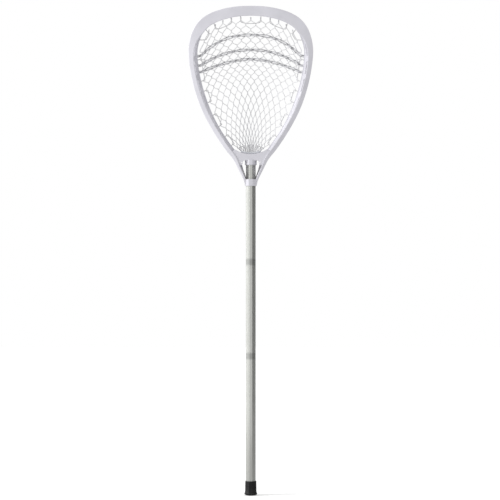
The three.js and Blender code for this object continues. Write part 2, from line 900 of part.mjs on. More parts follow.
// The place inside a cell where a string lies beside a join at the edge of the net.
function besideJoin(row, column) {
  const join = new THREE.Vector3().subVectors(flatPoint(row - 1, column), flatPoint(row + 1, column));
  const cell = column + 0.5 * Math.sign(netColumns / 2 - column);
  const inwards = flatPoint(row, cell).sub(flatPoint(row, column)).normalize();
  const reach = laceReach / Math.sin(inwards.angleTo(join));
  return flatPoint(row, column).addScaledVector(inwards, reach);
}

// The place inside a cell where a string lies in the corner below a join of the first row.
function belowJoin(column) {
  const corner = flatPoint(netJoinLengthShare / 2, column);
  const side = (c) => flatPoint(1 - netJoinLengthShare / 2, c).sub(corner).normalize();
  const [a, b] = [side(column - 0.5), side(column + 0.5)];
  const middle = new THREE.Vector3().addVectors(a, b).normalize();
  const reach = (laceReach - netJoin / 2 + netCord / 2) / Math.sin(a.angleTo(middle));
  return corner.addScaledVector(middle, reach);
}

const tieShares = [0.4, 0.6, 0.8, 1]; // of the way from the wall to the eye, over the net

function wallTie(join, eye) {
  const s = wallAt(join);
  const inner = place(s, s.inset + s.rail, 0);
  const passed = tieShares.map((t) => offNet(inner.clone().lerp(eye, t), -laceRoom).y);
  const depth = Math.min(s.rear - laceHoleFromRear, ...passed);
  return {
    s,
    depth,
    outer: place(s, s.inset - gap - laceRadius, depth),
    mouth: place(s, s.inset + s.rail + laceRadius, depth),
    front: eye.clone().setY(depth),
    eye,
  };
}

// The way of a string outside the frame, from one hole to the next.
function outsideRun(a, b, steps) {
  return Array.from({ length: steps }, (_, i) => {
    const s = station(THREE.MathUtils.lerp(a.s.along, b.s.along, (i + 1) / (steps + 1)));
    return place(s, s.inset - gap - laceRadius, s.rear - laceHoleFromRear);
  });
}

// A string through pairs of ties: in at the first of a pair, behind the net, and out at the
// second. Between pairs it runs outside.
function laced(pairs, steps) {
  const points = [];
  pairs.forEach(({ from, between, to }, i) => {
    if (i > 0 && steps) points.push(...outsideRun(pairs[i - 1].to, from, steps));
    points.push(from.outer, from.mouth, from.front, behind(from.eye));
    points.push(...between, behind(to.eye), to.front, to.mouth, to.outer);
  });
  return cord(points, laceRadius, laceSides, [laceKnot, laceKnot]);
}

function topTie(column) {
  return wallTie(flatPoint(0, column), belowJoin(column));
}

function sideTie(row, right) {
  const start = row % 2 ? 0.5 : 0;
  const column = right ? netColumns - start : start;
  return wallTie(flatPoint(row, column), besideJoin(row, column));
}

const topPairs = [
  { from: sideTie(1, false), between: [], to: topTie(1) },
  ...[[2, 4], [5, 7], [8, 10]].map(([a, b]) => {
    const [from, to] = [topTie(a), topTie(b)];
    const between = [0.25, 0.5, 0.75].map((t) => {
      const column = THREE.MathUtils.lerp(a, b, t);
      return behind(flatPoint(1, column).lerp(from.eye.clone().lerp(to.eye, t), 0.5));
    });
    return { from, between, to };
  }),
  { from: topTie(netColumns - 1), between: [], to: sideTie(1, true) },
];

// The side string stands off further where it passes behind the shooting cords.
const shooterWave = netThickness / 2 + gap + shooterRadius + shooterSpread;
const besideShooters = shooterWave + shooterRadius + gap + laceRadius + laceSlack;

function sidePair(a, b, right) {
  const between = [];
  const room = shooterRows.some((row) => row > a && row < b) ? besideShooters : laceRoom + laceSlack;
  for (let row = a + 1; row < b; row++) {
    const spot = besideJoin(row, right ? netColumns : 0);
    between.push(behind(spot, room));
  }
  return { from: sideTie(a, right), between, to: sideTie(b, right) };
}

const sidePairRows = [[4, 10], [12, 14], [16, 18], [20, 22]];
const sidePairs = [false, true].map((right) => sidePairRows.map(([a, b]) => sidePair(a, b, right)));

// The bottom string comes up through the shelf.
function shelfTie(column) {
  const tie = netPoint(netRows, column);
  const eyeRow = netRows - 1;
  const depth = tie.y - laceRoom - shelfHoleFromNet;
  const at = (height) => new THREE.Vector3(tie.x, depth, height);
  return {
    plate: at(stopHeight(tie.x, shelfPlate / 2)),
    outer: at(stopHeight(tie.x, shelfPlate) - gap - laceRadius),
    mouth: at(stopHeight(tie.x)),
    front: flatPoint(eyeRow, column).setY(depth),
    eye: flatPoint(eyeRow, column),
  };
}

const bottomPairs = [[1, 3], [5, 7], [9, 11]].map(([a, b]) => ({
  from: shelfTie(a),
  between: [behind(flatPoint(netRows - 1, (a + b) / 2))],
  to: shelfTie(b),
}));

function shelfHole({ plate }) {
  const length = 4 * shelfPlate;
  const hole = new THREE.CylinderGeometry(laceHoleRadius, laceHoleRadius, length, laceHoleSides);
  return solidOf(hole.rotateX(Math.PI / 2).translate(plate.x, plate.y, plate.z));
}

// Shooting cords: each is one cord, woven through a row of joins and back, with both ends knotted
// outside the left wall.
const shooterLift = shooterRadius + (shooterSpread + gap) / 2;
const knotLift = shooterKnot + gap / 2; // from the middle of the pair to a knot
const joinShare = 0.38; // of a column, on either side of a join, where a cord lies against it
const edgeShare = 0.15; // of a column, beyond a join at the net's edge

function shooterColumns(row) {
  const start = row % 2 ? 0.5 : 0;
  return Array.from({ length: netColumns + 1 - 2 * start }, (_, i) => start + i);
}

function shooterEnd(row, column) {
  const s = wallAt(flatPoint(row, column));
  const upwards = Math.sign(s.heading.z);
  return { s, depth: s.rear - laceHoleFromRear, upwards };
}

function shooterRun(row, level) {
  const points = [];
  shooterColumns(row).forEach((c, i) => {
    const along = flatPoint(row, c + joinShare).sub(flatPoint(row, c - joinShare));
    const above = along.cross(back).normalize();
    for (const side of [-1, 1]) {
      const column = c + side * joinShare;
      const kept = THREE.MathUtils.clamp(column, -edgeShare, netColumns + edgeShare);
      const lifted = flatPoint(row, kept).addScaledVector(above, level * shooterLift);
      points.push(offNet(lifted, (i % 2 ? -1 : 1) * level * shooterWave));
    }
  });
  return points;
}

function makeShooter(row) {
  const [left, right] = [shooterEnd(row, 0), shooterEnd(row, netColumns)];
  const at = (end, inward, level) => place(end.s, inward, end.depth, end.upwards * level);
  const knot = (end, level) => at(end, end.s.inset - gap, level);
  const mouth = (end, level) => at(end, end.s.inset + end.s.rail + shooterRadius, level);
  const turn = (level) => at(right, right.s.inset - gap - shooterRadius, level);
  const points = [
    knot(left, knotLift),
    mouth(left, shooterLift),
    ...shooterRun(row, 1),
    mouth(right, shooterLift),
    turn(shooterLift),
    turn(-shooterLift),
    mouth(right, -shooterLift),
    ...shooterRun(row, -1).toReversed(),
    mouth(left, -shooterLift),
    knot(left, -knotLift),
  ];
  return cord(points, shooterRadius, shooterSides, [shooterKnot, shooterKnot]);
}

// A slot for both runs of a shooting cord.
function slotCutters(row) {
  return [0, netColumns].map((column) => {
    const { s, depth } = shooterEnd(row, column);
    const [w, h] = [knotLift + shooterRadius + gap, shooterRadius + gap];
    const rings = [s.inset - overrun, s.inset + s.rail + overrun].map((inward) =>
      [
        [-w, -h / 2],
        [-w + h / 2, -h],
        [w - h / 2, -h],
        [w, -h / 2],
        [w, h / 2],
        [w - h / 2, h],
        [-w + h / 2, h],
        [-w, h / 2],
      ].map(([slide, deep]) => place(s, inward, depth + deep, slide)),
    );
    return solidOf(loft(rings));
  });
}

function makeFrame() {
  let frame = makeRim()
    .add(sleeve(collarBottom, collarBottom + collarHeight, collarWall, collarFlare))
    .add(sleeve(socketTop - socketHeight, socketTop + socketWall, socketWall, 0))
    .add(sleeve(socketTop, shelfTop - shelfPlate / 2, -gap, 0))
    .add(makeShelf())
    .add(makeSpine());
  const bore = upright(shaftOutline(gap, 0), collarBottom - overrun, socketTop);
  const wallTies = [...topPairs, ...sidePairs.flat()].flatMap((pair) => [pair.from, pair.to]);
  const holes = wallTies.map(laceHole);
  const cutters = [solidOf(bore), screwHole(gap), ...windowCutters(), ...holes];
  cutters.push(...shooterRows.flatMap(slotCutters));
  cutters.push(...bottomPairs.flatMap((pair) => [shelfHole(pair.from), shelfHole(pair.to)]));
  for (const cutter of cutters) frame = frame.subtract(cutter);
  return frame;
}

// Assembly

const plastic = { color: 0xdad9e2, roughness: 0.36, metalness: 0 };
const alloy = { color: 0xb9bab5, roughness: 0.4, metalness: 0.8 };
const rubber = { color: 0x1d1d1f, roughness: 0.8, metalness: 0 };
const foam = { color: 0xb9bcc2, roughness: 0.95, metalness: 0 };
const steel = { color: 0x9a9b9c, roughness: 0.3, metalness: 1 };
const nylon = { color: 0xf0f0ec, roughness: 0.8, metalness: 0 };
const lace = { color: 0xc9c9cd, roughness: 0.85, metalness: 0 };

const stick = new THREE.Group();

function add(name, made, look) {
  const geometry = made.isBufferGeometry ? made : geometryOf(made);
  const mesh = new THREE.Mesh(geometry, new THREE.MeshStandardMaterial(look));
  mesh.name = name;
  stick.add(mesh);
}

add("head_frame", makeFrame(), plastic);
add("shaft", makeShaft(), alloy);
add("butt_cap", makeCap(), rubber);
add("throat_screw", makeScrew(), steel);
add("ball_stop_pad", makePad(), foam);
add("pocket_net", makeNet(), nylon);
add("top_string", laced(topPairs, 3), nylon);
add("sidewall_string_left", laced(sidePairs[0], 3), nylon);
add("sidewall_string_right", laced(sidePairs[1], 3), nylon);
add("bottom_string", laced(bottomPairs, 0), nylon);
shooterRows.forEach((row, i) => add("shooting_cord_" + (i + 1), makeShooter(row), lace));

export default stick;
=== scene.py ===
# A lacrosse goalie stick: a moulded head frame that carries a laced net pocket, a tube shaft and a
# rubber cap. Lengths are in millimetres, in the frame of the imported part: +Z runs from the butt to
# the head, -Y is the open face.
import math

import bmesh
import bpy
import numpy as np
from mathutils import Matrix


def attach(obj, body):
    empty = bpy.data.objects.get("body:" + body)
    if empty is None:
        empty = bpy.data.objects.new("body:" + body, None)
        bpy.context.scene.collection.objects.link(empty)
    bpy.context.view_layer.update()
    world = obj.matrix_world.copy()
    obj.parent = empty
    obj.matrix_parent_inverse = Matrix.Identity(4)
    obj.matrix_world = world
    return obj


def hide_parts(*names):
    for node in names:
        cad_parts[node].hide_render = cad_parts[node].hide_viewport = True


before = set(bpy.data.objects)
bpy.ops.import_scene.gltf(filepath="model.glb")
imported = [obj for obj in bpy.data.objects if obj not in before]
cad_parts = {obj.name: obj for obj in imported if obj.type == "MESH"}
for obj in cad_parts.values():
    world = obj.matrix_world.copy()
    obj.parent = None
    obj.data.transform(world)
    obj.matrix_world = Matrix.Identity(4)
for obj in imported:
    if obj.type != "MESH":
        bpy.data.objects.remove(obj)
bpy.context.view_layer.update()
mm = 0.001
print("stage: frame loaded,", len(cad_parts), "nodes")

stick = {
    "length": 1280,
    "headLength": 470,
    "headWidth": 326,
    "gap": 0.35,
    "collarBottom": 810,
    "shaftTop": 876,
}
gap = stick["gap"]
socketTop = stick["shaftTop"] + gap


def unit(v):
    return v / np.linalg.norm(v, axis=-1, keepdims=True)


def linked(name, data):
    thing = bpy.data.objects.new(name, data)
    bpy.context.scene.collection.objects.link(thing)
    return thing


def makePiece(name, points, faces, uv=None, sharpAngle=38):
    # uv holds a pair for each corner of each face, in face order
    mesh = bpy.data.meshes.new(name)
    mesh.from_pydata((np.asarray(points, float) * mm).tolist(), [], [[int(i) for i in f] for f in faces])
    if uv is not None:
        layer = mesh.uv_layers.new(name="UVMap")
        layer.data.foreach_set("uv", np.asarray(uv, np.float32).ravel())
    mesh.update()
    piece = linked(name, mesh)
    shadeByAngle(piece, sharpAngle)
    return piece


def reworked(piece, change):
    # runs a change on the piece's mesh
    made = bmesh.new()
    made.from_mesh(piece.data)
    change(made)
    made.to_mesh(piece.data)
    made.free()


def shadeByAngle(piece, angle):
    # smooth everywhere but at edges that turn by more than the angle
    def change(made):
        for edge in made.edges:
            edge.smooth = len(edge.link_faces) == 2 and edge.calc_face_angle(0) < math.radians(angle)
        for face in made.faces:
            face.smooth = True

    reworked(piece, change)


def faceOutwards(piece):
    reworked(piece, lambda made: bmesh.ops.recalc_face_normals(made, faces=made.faces))


def gridFaces(rows, columns, closedRows=False, first=0):
    # quads over a grid of points whose number is row * columns + column; the columns go round
    r = np.arange(rows if closedRows else rows - 1)[:, None]
    c = np.arange(columns)[None, :]
    nextRow, nextColumn = (r + 1) % rows, (c + 1) % columns
    quads = [r * columns + c, r * columns + nextColumn, nextRow * columns + nextColumn, nextRow * columns + c]
    return np.stack([np.broadcast_to(q, (r.size, c.size)) for q in quads], -1).reshape(-1, 4) + first


def loftPiece(name, rings, sharpAngle=38, closedBand=False):
    # rings of points, each with as many points as the next: both ends have a lid, or the last
    # ring joins the first in a closed band
    rings = np.asarray(rings, float)
    count, around = rings.shape[:2]
    faces = gridFaces(count, around, closedRows=closedBand).tolist()
    if not closedBand:
        faces.append(list(range(around))[::-1])
        faces.append(list(range((count - 1) * around, count * around)))
    piece = makePiece(name, rings.reshape(-1, 3), faces, sharpAngle=sharpAngle)
    faceOutwards(piece)
    return piece


def evenShading(piece):
    # normals weighed by the size of the faces, so that flat faces stay flat beside small rounded edges
    modifier = piece.modifiers.new("evenShading", "WEIGHTED_NORMAL")
    modifier.keep_sharp = True
    return piece


def joined(pieces):
    # several pieces as one, with their meshes side by side
    made = bmesh.new()
    for piece in pieces:
        made.from_mesh(piece.data)
    made.to_mesh(pieces[0].data)
    made.free()
    for piece in pieces[1:]:
        bpy.data.objects.remove(piece)
    return pieces[0]


def combined(piece, other, operation):
    # a solid added to or cut from another with Blender's boolean, applied at once
    modifier = piece.modifiers.new("combine", "BOOLEAN")
    modifier.operation = operation
    modifier.solver = "MANIFOLD"
    modifier.object = other
    graph = bpy.context.evaluated_depsgraph_get()
    mesh = bpy.data.meshes.new_from_object(piece.evaluated_get(graph))
    piece.modifiers.clear()
    piece.data = mesh
    bpy.data.objects.remove(other)
    return piece


def roundCorners(corners, radii, steps=5):
    # each corner of a closed outline becomes a short curve, which starts and ends at most a
    # share of a side away: (1-t)^2 start + 2t(1-t) corner + t^2 end
    sideShare = 0.45
    corners = np.asarray(corners, float)
    towards = np.roll(corners, 1, -2) - corners
    onwards = np.roll(corners, -1, -2) - corners
    before, after = (np.linalg.norm(v, axis=-1, keepdims=True) for v in (towards, onwards))
    cut = np.minimum(np.asarray(radii, float).reshape(-1, 1), sideShare * np.minimum(before, after))
    start, end = corners + towards / before * cut, corners + onwards / after * cut
    t = np.linspace(0, 1, steps)[:, None]
    curves = [
        (1 - t) ** 2 * start[..., None, :],
        2 * t * (1 - t) * corners[..., None, :],
        t**2 * end[..., None, :],
    ]
    return sum(curves).reshape(*corners.shape[:-2], -1, 2)


def circle(count):
    # points of a circle of radius 1, from (1, 0) on
    angle = np.arange(count) / count * 2 * math.pi
    return np.column_stack([np.cos(angle), np.sin(angle)])


def quarterRound(radius, count):
    # a quarter circle, from a side to the end beside it: how far in each of its points is from
    # the side, and how far back from the end
    angle = np.linspace(0, math.pi / 2, count)
    return radius * (1 - np.sin(angle)), radius * (1 - np.cos(angle))


def insetOutline(outline, amount):
    # a closed outline moved inwards along the mean of its two sides' normals
    side = np.roll(outline, -1, 0) - np.roll(outline, 1, 0)
    normal = unit(np.stack([-side[:, 1], side[:, 0]], -1))
    x, y = outline.T
    turn = np.sign(np.sum(x * np.roll(y, -1) - np.roll(x, -1) * y))
    return outline + normal * turn * amount


def slabPiece(name, outline, low, high, softness, lift):
    # an outline carried from low to high, its rim rounded by a quarter circle; lift places a ring
    outline = np.asarray(outline, float)
    inset, rise = quarterRound(softness, 4)
    rings = [lift(insetOutline(outline, i), low + r) for i, r in zip(inset, rise)]
    rings += [lift(insetOutline(outline, i), high - r) for i, r in zip(inset[::-1], rise[::-1])]
    return loftPiece(name, rings)


def through(table, key):
    # one smooth curve through a table of keys and values: cubic spans, each end with its neighbours' slope
    keys, values = np.array(table, float).T
    last = len(keys) - 1
    ahead, behind = np.minimum(np.arange(last + 1) + 1, last), np.maximum(np.arange(last + 1) - 1, 0)
    slopes = (values[ahead] - values[behind]) / (keys[ahead] - keys[behind])
    at = np.clip(key, keys[0], keys[-1])
    i = np.clip(np.searchsorted(keys, at) - 1, 0, last - 1)
    span = keys[i + 1] - keys[i]
    t = (at - keys[i]) / span
    fromStart = values[i] * (2 * t**3 - 3 * t**2 + 1) + slopes[i] * span * (t**3 - 2 * t**2 + t)
    toEnd = values[i + 1] * (3 * t**2 - 2 * t**3) + slopes[i + 1] * span * (t**3 - t**2)
    return fromStart + toEnd


def smoothLine(points, perSpan):
    # a centripetal Catmull-Rom curve: cubic spans whose end slopes weigh the neighbouring
    # points by the square root of their distance
    points = np.asarray(points, float)
    ends = [2 * points[0] - points[1], 2 * points[-1] - points[-2]]
    p = np.vstack([ends[0], points, ends[1]])
    d = np.sqrt(np.linalg.norm(np.diff(p, axis=0), axis=1))[:, None]
    p0, p1, p2, p3 = p[:-3], p[1:-2], p[2:-1], p[3:]
    d0, d1, d2 = d[:-2], d[1:-1], d[2:]
    first = ((p1 - p0) / d0 - (p2 - p0) / (d0 + d1) + (p2 - p1) / d1) * d1
    second = ((p2 - p1) / d1 - (p3 - p1) / (d1 + d2) + (p3 - p2) / d2) * d1
    t = (np.arange(perSpan) / perSpan)[None, :, None]
    p1, p2, first, second = (v[:, None, :] for v in (p1, p2, first, second))
    line = (
        p1 * (2 * t**3 - 3 * t**2 + 1)
        + first * (t**3 - 2 * t**2 + t)
        + p2 * (3 * t**2 - 2 * t**3)
        + second * (t**3 - t**2)
    )
    return np.vstack([line.reshape(-1, points.shape[1]), points[-1]])


def softened(line, passes):
    # each point moves to the mean of itself, taken twice, and its two neighbours; the ends stay
    for _ in range(passes):
        line = np.vstack([line[:1], (line[:-2] + 2 * line[1:-1] + line[2:]) / 4, line[-1:]])
    return line


def lengthsAlong(line):
    return np.concatenate([[0], np.cumsum(np.linalg.norm(np.diff(line, axis=0), axis=1))])


def evenly(line, step):
    # a line with its points the same distance apart
    passed = lengthsAlong(line)
    at = np.linspace(0, passed[-1], max(2, int(round(passed[-1] / step)) + 1))
    return np.stack([np.interp(at, passed, line[:, i]) for i in range(line.shape[1])], -1)


def evenRing(outline, step):
    # a closed outline with its points the same distance apart
    return evenly(np.vstack([outline, outline[:1]]), step)[:-1]


def tubeMesh(line, radii, sides, reference=None, flatness=1.0, first=0):
    # rings of points round a line: point + radius * (cos(a) * side + flatness * sin(a) * other),
    # where side stays as level to the reference as it can, or turns as little as it can
    heading = unit(np.gradient(line, axis=0))
    if reference is not None:
        side = unit(np.cross(heading, reference))
    else:
        side = np.zeros_like(line)
        now = np.cross(heading[0], [0.3, 0.2, 0.9])
        for i, h in enumerate(heading):
            now = now - h * now.dot(h)
            now /= np.linalg.norm(now)
            side[i] = now
    other = np.cross(heading, side)
    cosine, sine = circle(sides).T[:, None, :, None]
    radii = np.broadcast_to(np.asarray(radii, float), (len(line),))[:, None, None]
    across = cosine * side[:, None, :] + flatness * sine * other[:, None, :]
    rings = line[:, None, :] + radii * across
    faces = gridFaces(len(line), sides, first=first).tolist()
    passed = lengthsAlong(line)
    r = np.repeat(np.arange(len(line) - 1), sides)
    c = np.tile(np.arange(sides), len(line) - 1)
    u = np.stack([c, c + 1, c + 1, c], -1) / sides
    v = np.stack([passed[r], passed[r], passed[r + 1], passed[r + 1]], -1)
    uv = np.stack([u, v], -1).reshape(-1, 2)
    last = first + (len(line) - 1) * sides
    faces.append([first + i for i in range(sides)][::-1])
    faces.append([last + i for i in range(sides)])
    capUv = np.zeros((2 * sides, 2))
    return rings.reshape(-1, 3), faces, np.vstack([uv, capUv])


def tubePiece(name, tubes):
    # several tubes in one piece
    points, faces, uvs, first = [], [], [], 0
    for tube in tubes:
        made, sheet, uv = tubeMesh(first=first, **tube)
        points.append(made)
        faces += sheet
        uvs.append(uv)
        first += len(made)
    return makePiece(name, np.vstack(points), faces, np.vstack(uvs), sharpAngle=60)


def knotTube(centre, outwards, size, radius, sides=8):
    # a trefoil line, drawn up tight into a knot: (sin t + 2 sin 2t, cos t - 2 cos 2t, -1.6 sin 3t),
    # whose reach of 3 becomes the size
    t = np.linspace(0, 2 * math.pi, 61)
    flat = [np.sin(t) + 2 * np.sin(2 * t), np.cos(t) - 2 * np.cos(2 * t), -1.6 * np.sin(3 * t)]
    side = unit(np.cross(outwards, [0.2, 0.9, 0.3]))
    basis = np.stack([side, np.cross(outwards, side), outwards])
    return {"line": centre + np.stack(flat, -1) @ basis * size / 3, "radii": radius, "sides": sides}


head = {
    "frontRail": 7,
    "rearRail": 9,
    "railWidth": 9,
    "web": 3.4,
    "band": 22.5,
    "lip": 12.6,
    "scoopBand": 23,
    "cornerRadii": [3.4, 2.2, 1.3, 3, 3, 1.6, 2.4, 2.4, 1.6, 3, 3, 1.5],
    "sharpAngle": 36,
    "scoopBlade": 26,
    "bladeThickness": 4.2,
    "ribHeight": 8,
    "scoopForward": 24,
    "scoopRear": -8,
    "faceForward": 15,
    "rearAtWidest": 22,
    "rearAtMiddle": 28,
    "rearAtThroat": 25,
    "stations": 330,
}
collarWall = 2.2
collarHalfDepth = 28.6 / 2 + gap + collarWall
outlineShares = [
    [0, 1], [0.235, 0.9965], [0.465, 0.982], [0.65, 0.9595], [0.79, 0.929], [0.903, 0.882],
    [0.972, 0.822], [1, 0.757], [0.975, 0.654], [0.9, 0.535], [0.788, 0.425], [0.62, 0.313],
    [0.415, 0.205], [0.281, 0.146], [0.19, 0.085], [0.118, 0.034], [0.095, 0.003],
]
half = np.array(outlineShares) * [stick["headWidth"] / 2, stick["headLength"]] + [0, stick["collarBottom"]]
outline = smoothLine(np.vstack([half[:0:-1] * [-1, 1], half]), 80)
outlinePassed = lengthsAlong(outline)
outlineLength = outlinePassed[-1]
outlineHeading = np.gradient(outline, outlinePassed, axis=0)

bandTable = [
    [0, head["scoopBand"]], [0.2, head["scoopBand"] * 1.06], [0.28, head["scoopBand"] * 1.1],
    [0.4, head["band"]], [0.6, head["band"] * 0.98], [0.72, head["band"] * 0.88], [0.86, head["band"] * 0.86],
    [0.905, head["band"] * 0.68], [0.95, head["band"] * 0.46], [1, head["band"] * 0.33],
]
lipTable = [
    [0, head["scoopBlade"]], [0.26, head["scoopBlade"] * 1.08], [0.33, head["scoopBlade"] * 0.72],
    [0.42, head["lip"]], [0.6, head["lip"]], [0.86, head["lip"] * 0.85], [0.92, head["lip"] * 0.6],
    [1, head["lip"] * 0.48],
]
railTable = [
    [0, head["railWidth"]], [0.86, head["railWidth"]],
    [0.95, head["railWidth"] * 0.66], [1, head["railWidth"] * 0.62],
]
frontTable = [
    [0, head["scoopForward"]], [0.12, head["scoopForward"] * 0.97], [0.24, head["faceForward"] * 1.3],
    [0.36, head["faceForward"]], [0.6, head["faceForward"] * 0.96], [0.85, head["faceForward"] * 1.15],
    [0.93, collarHalfDepth], [0.97, collarHalfDepth * 0.84], [1, collarHalfDepth * 0.5],
]
rearTable = [
    [0, head["scoopRear"]], [0.12, head["scoopRear"] * 0.85], [0.24, head["rearAtWidest"] * 0.2],
    [0.4, head["rearAtWidest"]], [0.65, head["rearAtMiddle"]], [0.86, head["rearAtThroat"]],
    [0.93, collarHalfDepth], [0.97, collarHalfDepth * 0.84], [1, collarHalfDepth * 0.5],
]
bladeTable = [
    [0, head["bladeThickness"]], [0.2, head["bladeThickness"]], [0.38, head["frontRail"]],
    [0.93, head["frontRail"]], [1, head["frontRail"] * 0.6],
]
lipSlopeTable = [[0, 0.5], [0.22, 0.7], [0.36, 3.4], [0.6, 3.8], [0.86, 3.4], [0.95, 1.6], [1, 0.6]]
ribTable = [
    [0, head["ribHeight"]], [0.2, head["ribHeight"]], [0.38, head["rearRail"]],
    [0.93, head["rearRail"]], [1, head["rearRail"] * 0.5],
]


def stationsAt(along):
    # sections of the frame at shares of the outline from the left end to the right one
    along = np.asarray(along, float)
    share = np.abs(2 * along - 1)
    passed = along * outlineLength
    x, z = (np.interp(passed, outlinePassed, outline[:, i]) for i in (0, 1))
    hx, hz = (np.interp(passed, outlinePassed, outlineHeading[:, i]) for i in (0, 1))
    size = np.hypot(hx, hz)
    level = np.zeros_like(along)
    lip, rail = through(lipTable, share), through(railTable, share)
    return {
        "along": along,
        "point": np.stack([x, level, z], -1),
        "heading": np.stack([hx / size, level, hz / size], -1),
        "inwards": np.stack([hz / size, level, -hx / size], -1),
        "lip": lip,
        "rail": rail,
        "inset": through(bandTable, share) - rail,
        "front": -through(frontTable, share),
        "rear": through(rearTable, share),
        "blade": through(bladeTable, share),
        "rib": through(ribTable, share),
        "lipSlope": through(lipSlopeTable, share),
        "webTop": np.minimum(lip / 2, head["lip"] / 2) + np.maximum(0, lip - head["lip"]) / 2,
    }


def placeAt(s, inward, depth, slide=0.0):
    # a place beside the outline: point + inwards * inward + heading * slide, at a depth
    inward, slide = (np.asarray(v, float)[..., None] for v in (inward, slide))
    spot = s["point"] + s["inwards"] * inward + s["heading"] * slide
    spot[..., 1] = depth
    return spot


print("stage: outline", round(float(outlineLength)), "mm long")

# Throat of the head: a collar and a socket round the shaft, a spine behind it, and the ball stop on top.
throat = {
    "collarHeight": 17.5,
    "collarFlare": 2.6,
    "socketHeight": 11.5,
    "socketWall": 2.3,
    "spineWidth": 13,
    "spineThickness": 5.5,
    "spineSlope": 4,
    "spineRadii": [0.3, 2, 6, 6, 2, 0.3],
    "spineSoftEdge": 1.4,
    "socketOverlap": 2.3,
    "blockOverlap": 1,
    "blockSoftEdge": 0.2,
    "shelfRise": 17,
    "shelfPlate": 4.5,
    "shelfHalfWidth": 42,
    "shelfFront": 15,
    "apron": 3.6,
    "apronFromShare": 0.84,
    "apronLipShare": 0.55,
    "apronReachShare": 0.9,
    "apronSteps": 27,
    "apronSideSteps": 8,
    "apronEndRadius": 4,
    "apronShoulderRadius": 5,
    "apronFootRadii": [3.5, 3, 3, 3.5],
    "apronCurveRadius": 0.01,
    "apronLeastSide": 0.02,
    "gussetFoot": 22.5,
    "shoulderDrop": 5,
    "gussetInside": 19.5,
    "gussetDrop": 12,
    "eyeHalfSpan": 23.5,
    "eyeRadius": 1.6,
    "eyeDrop": 4.6,
    "ballRadius": 75,
    "softEdge": 0.9,
}
shaftSize = {
    "width": 25.4,
    "depth": 28.6,
    "frontFlat": 8.2,
    "sideFlat": 9.4,
    "dish": 0.5,
    "wall": 1.5,
    "bottom": 8,
    "cornerRound": 1.5,
    "rim": 0.3,
}
shelfTop = socketTop + throat["shelfRise"]


def shaftRing(grow, dish=0.0):
    # the eight-sided section, grown outwards; each corner is a short curve, and each slanting
    # face sinks by 4 t (1 - t) times the dish
    w, d = shaftSize["width"] / 2 + grow, shaftSize["depth"] / 2 + grow
    slant = grow * math.tan(math.pi / 8)
    f, s = shaftSize["frontFlat"] / 2 + slant, shaftSize["sideFlat"] / 2 + slant
    corners = [(f, -d), (w, -s), (w, s), (f, d), (-f, d), (-w, s), (-w, -s), (-f, -d)]
    rounded = roundCorners(corners, [shaftSize["cornerRound"]] * 8, 4).reshape(8, 4, 2)
    t = np.linspace(0, 1, 8)[1:-1, None]
    made = []
    for i in range(8):
        start, end = rounded[i, -1], rounded[(i + 1) % 8, 0]
        face = start + (end - start) * t
        if i % 2 == 0:
            face = face * (1 - dish * 4 * t * (1 - t) / np.linalg.norm(face, axis=1, keepdims=True))
        made += [rounded[i], face]
    return np.vstack(made)


def atHeight(outline, height):
    return np.column_stack([outline, np.full(len(outline), height)])


def sleevePiece(name, bottom, top, wall, flare, soft=0.7):
    # a ring round the shaft, wider at its top than at its foot, with rims rounded in two steps
    bend = 0.3 * soft
    steps = [(bottom, -soft), (bottom + bend, -bend), (bottom + soft, 0)]
    steps += [(top - soft, 0), (top - bend, -bend), (top, -soft)]
    rings = []
    for z, pulled in steps:
        share = (z - bottom) / (top - bottom)
        rings.append(atHeight(shaftRing(gap + wall + flare * share + pulled), z))
    return loftPiece(name, rings)


def stopHeight(x, drop=0.0):
    # the ball stop's arc beside the middle, or an arc below it
    return shelfTop + throat["ballRadius"] - np.sqrt((throat["ballRadius"] + drop) ** 2 - np.asarray(x) ** 2)


def alongArc(reach):
    # how long the ball stop's arc is from the middle to a reach beside it
    return throat["ballRadius"] * math.asin(reach / throat["ballRadius"])


def onArc(outline, rise):
    # an outline of (way along the arc, depth) laid on the ball stop's arc, raised by a rise
    radius = throat["ballRadius"]
    angle = outline[:, 0] / radius
    reach = radius - rise
    z = shelfTop + radius - reach * np.cos(angle)
    return np.column_stack([reach * np.sin(angle), outline[:, 1], z])


def cushionPiece(name, halfLength, near, far, low, high, soft, crown, place):
    # nested copies of a rounded rectangle, from the middle of the underside out round the rim
    # and in to the middle of the top, which is crowned by crown times (1 - share^2)
    centre = (near + far) / 2
    cornerRadius, rimStep = 2.5 * soft, 2.2
    corners = [(-halfLength, near), (halfLength, near), (halfLength, far), (-halfLength, far)]
    outline = evenRing(roundCorners(corners, [cornerRadius] * 4, 6), rimStep)
    shares = [0.04, 0.25, 0.5, 0.75, 0.95]
    rim = list(zip(*quarterRound(soft, 5)))

    def scaled(share, inset):
        ring = insetOutline(outline, inset) - [0, centre]
        return ring * share + [0, centre]

    rings = [place(scaled(share, soft), low) for share in shares]
    rings += [place(scaled(1, inset), low + rise) for inset, rise in rim]
    rings += [place(scaled(1, inset), high - rise) for inset, rise in rim[::-1]]
    rings += [place(scaled(share, soft), high + crown * (1 - share**2)) for share in shares[::-1]]
    return loftPiece(name, rings)


def fromFront(outline, depth):
    # an outline drawn as seen from the front, at a depth
    return np.column_stack([outline[:, 0], np.full(len(outline), depth), outline[:, 1]])


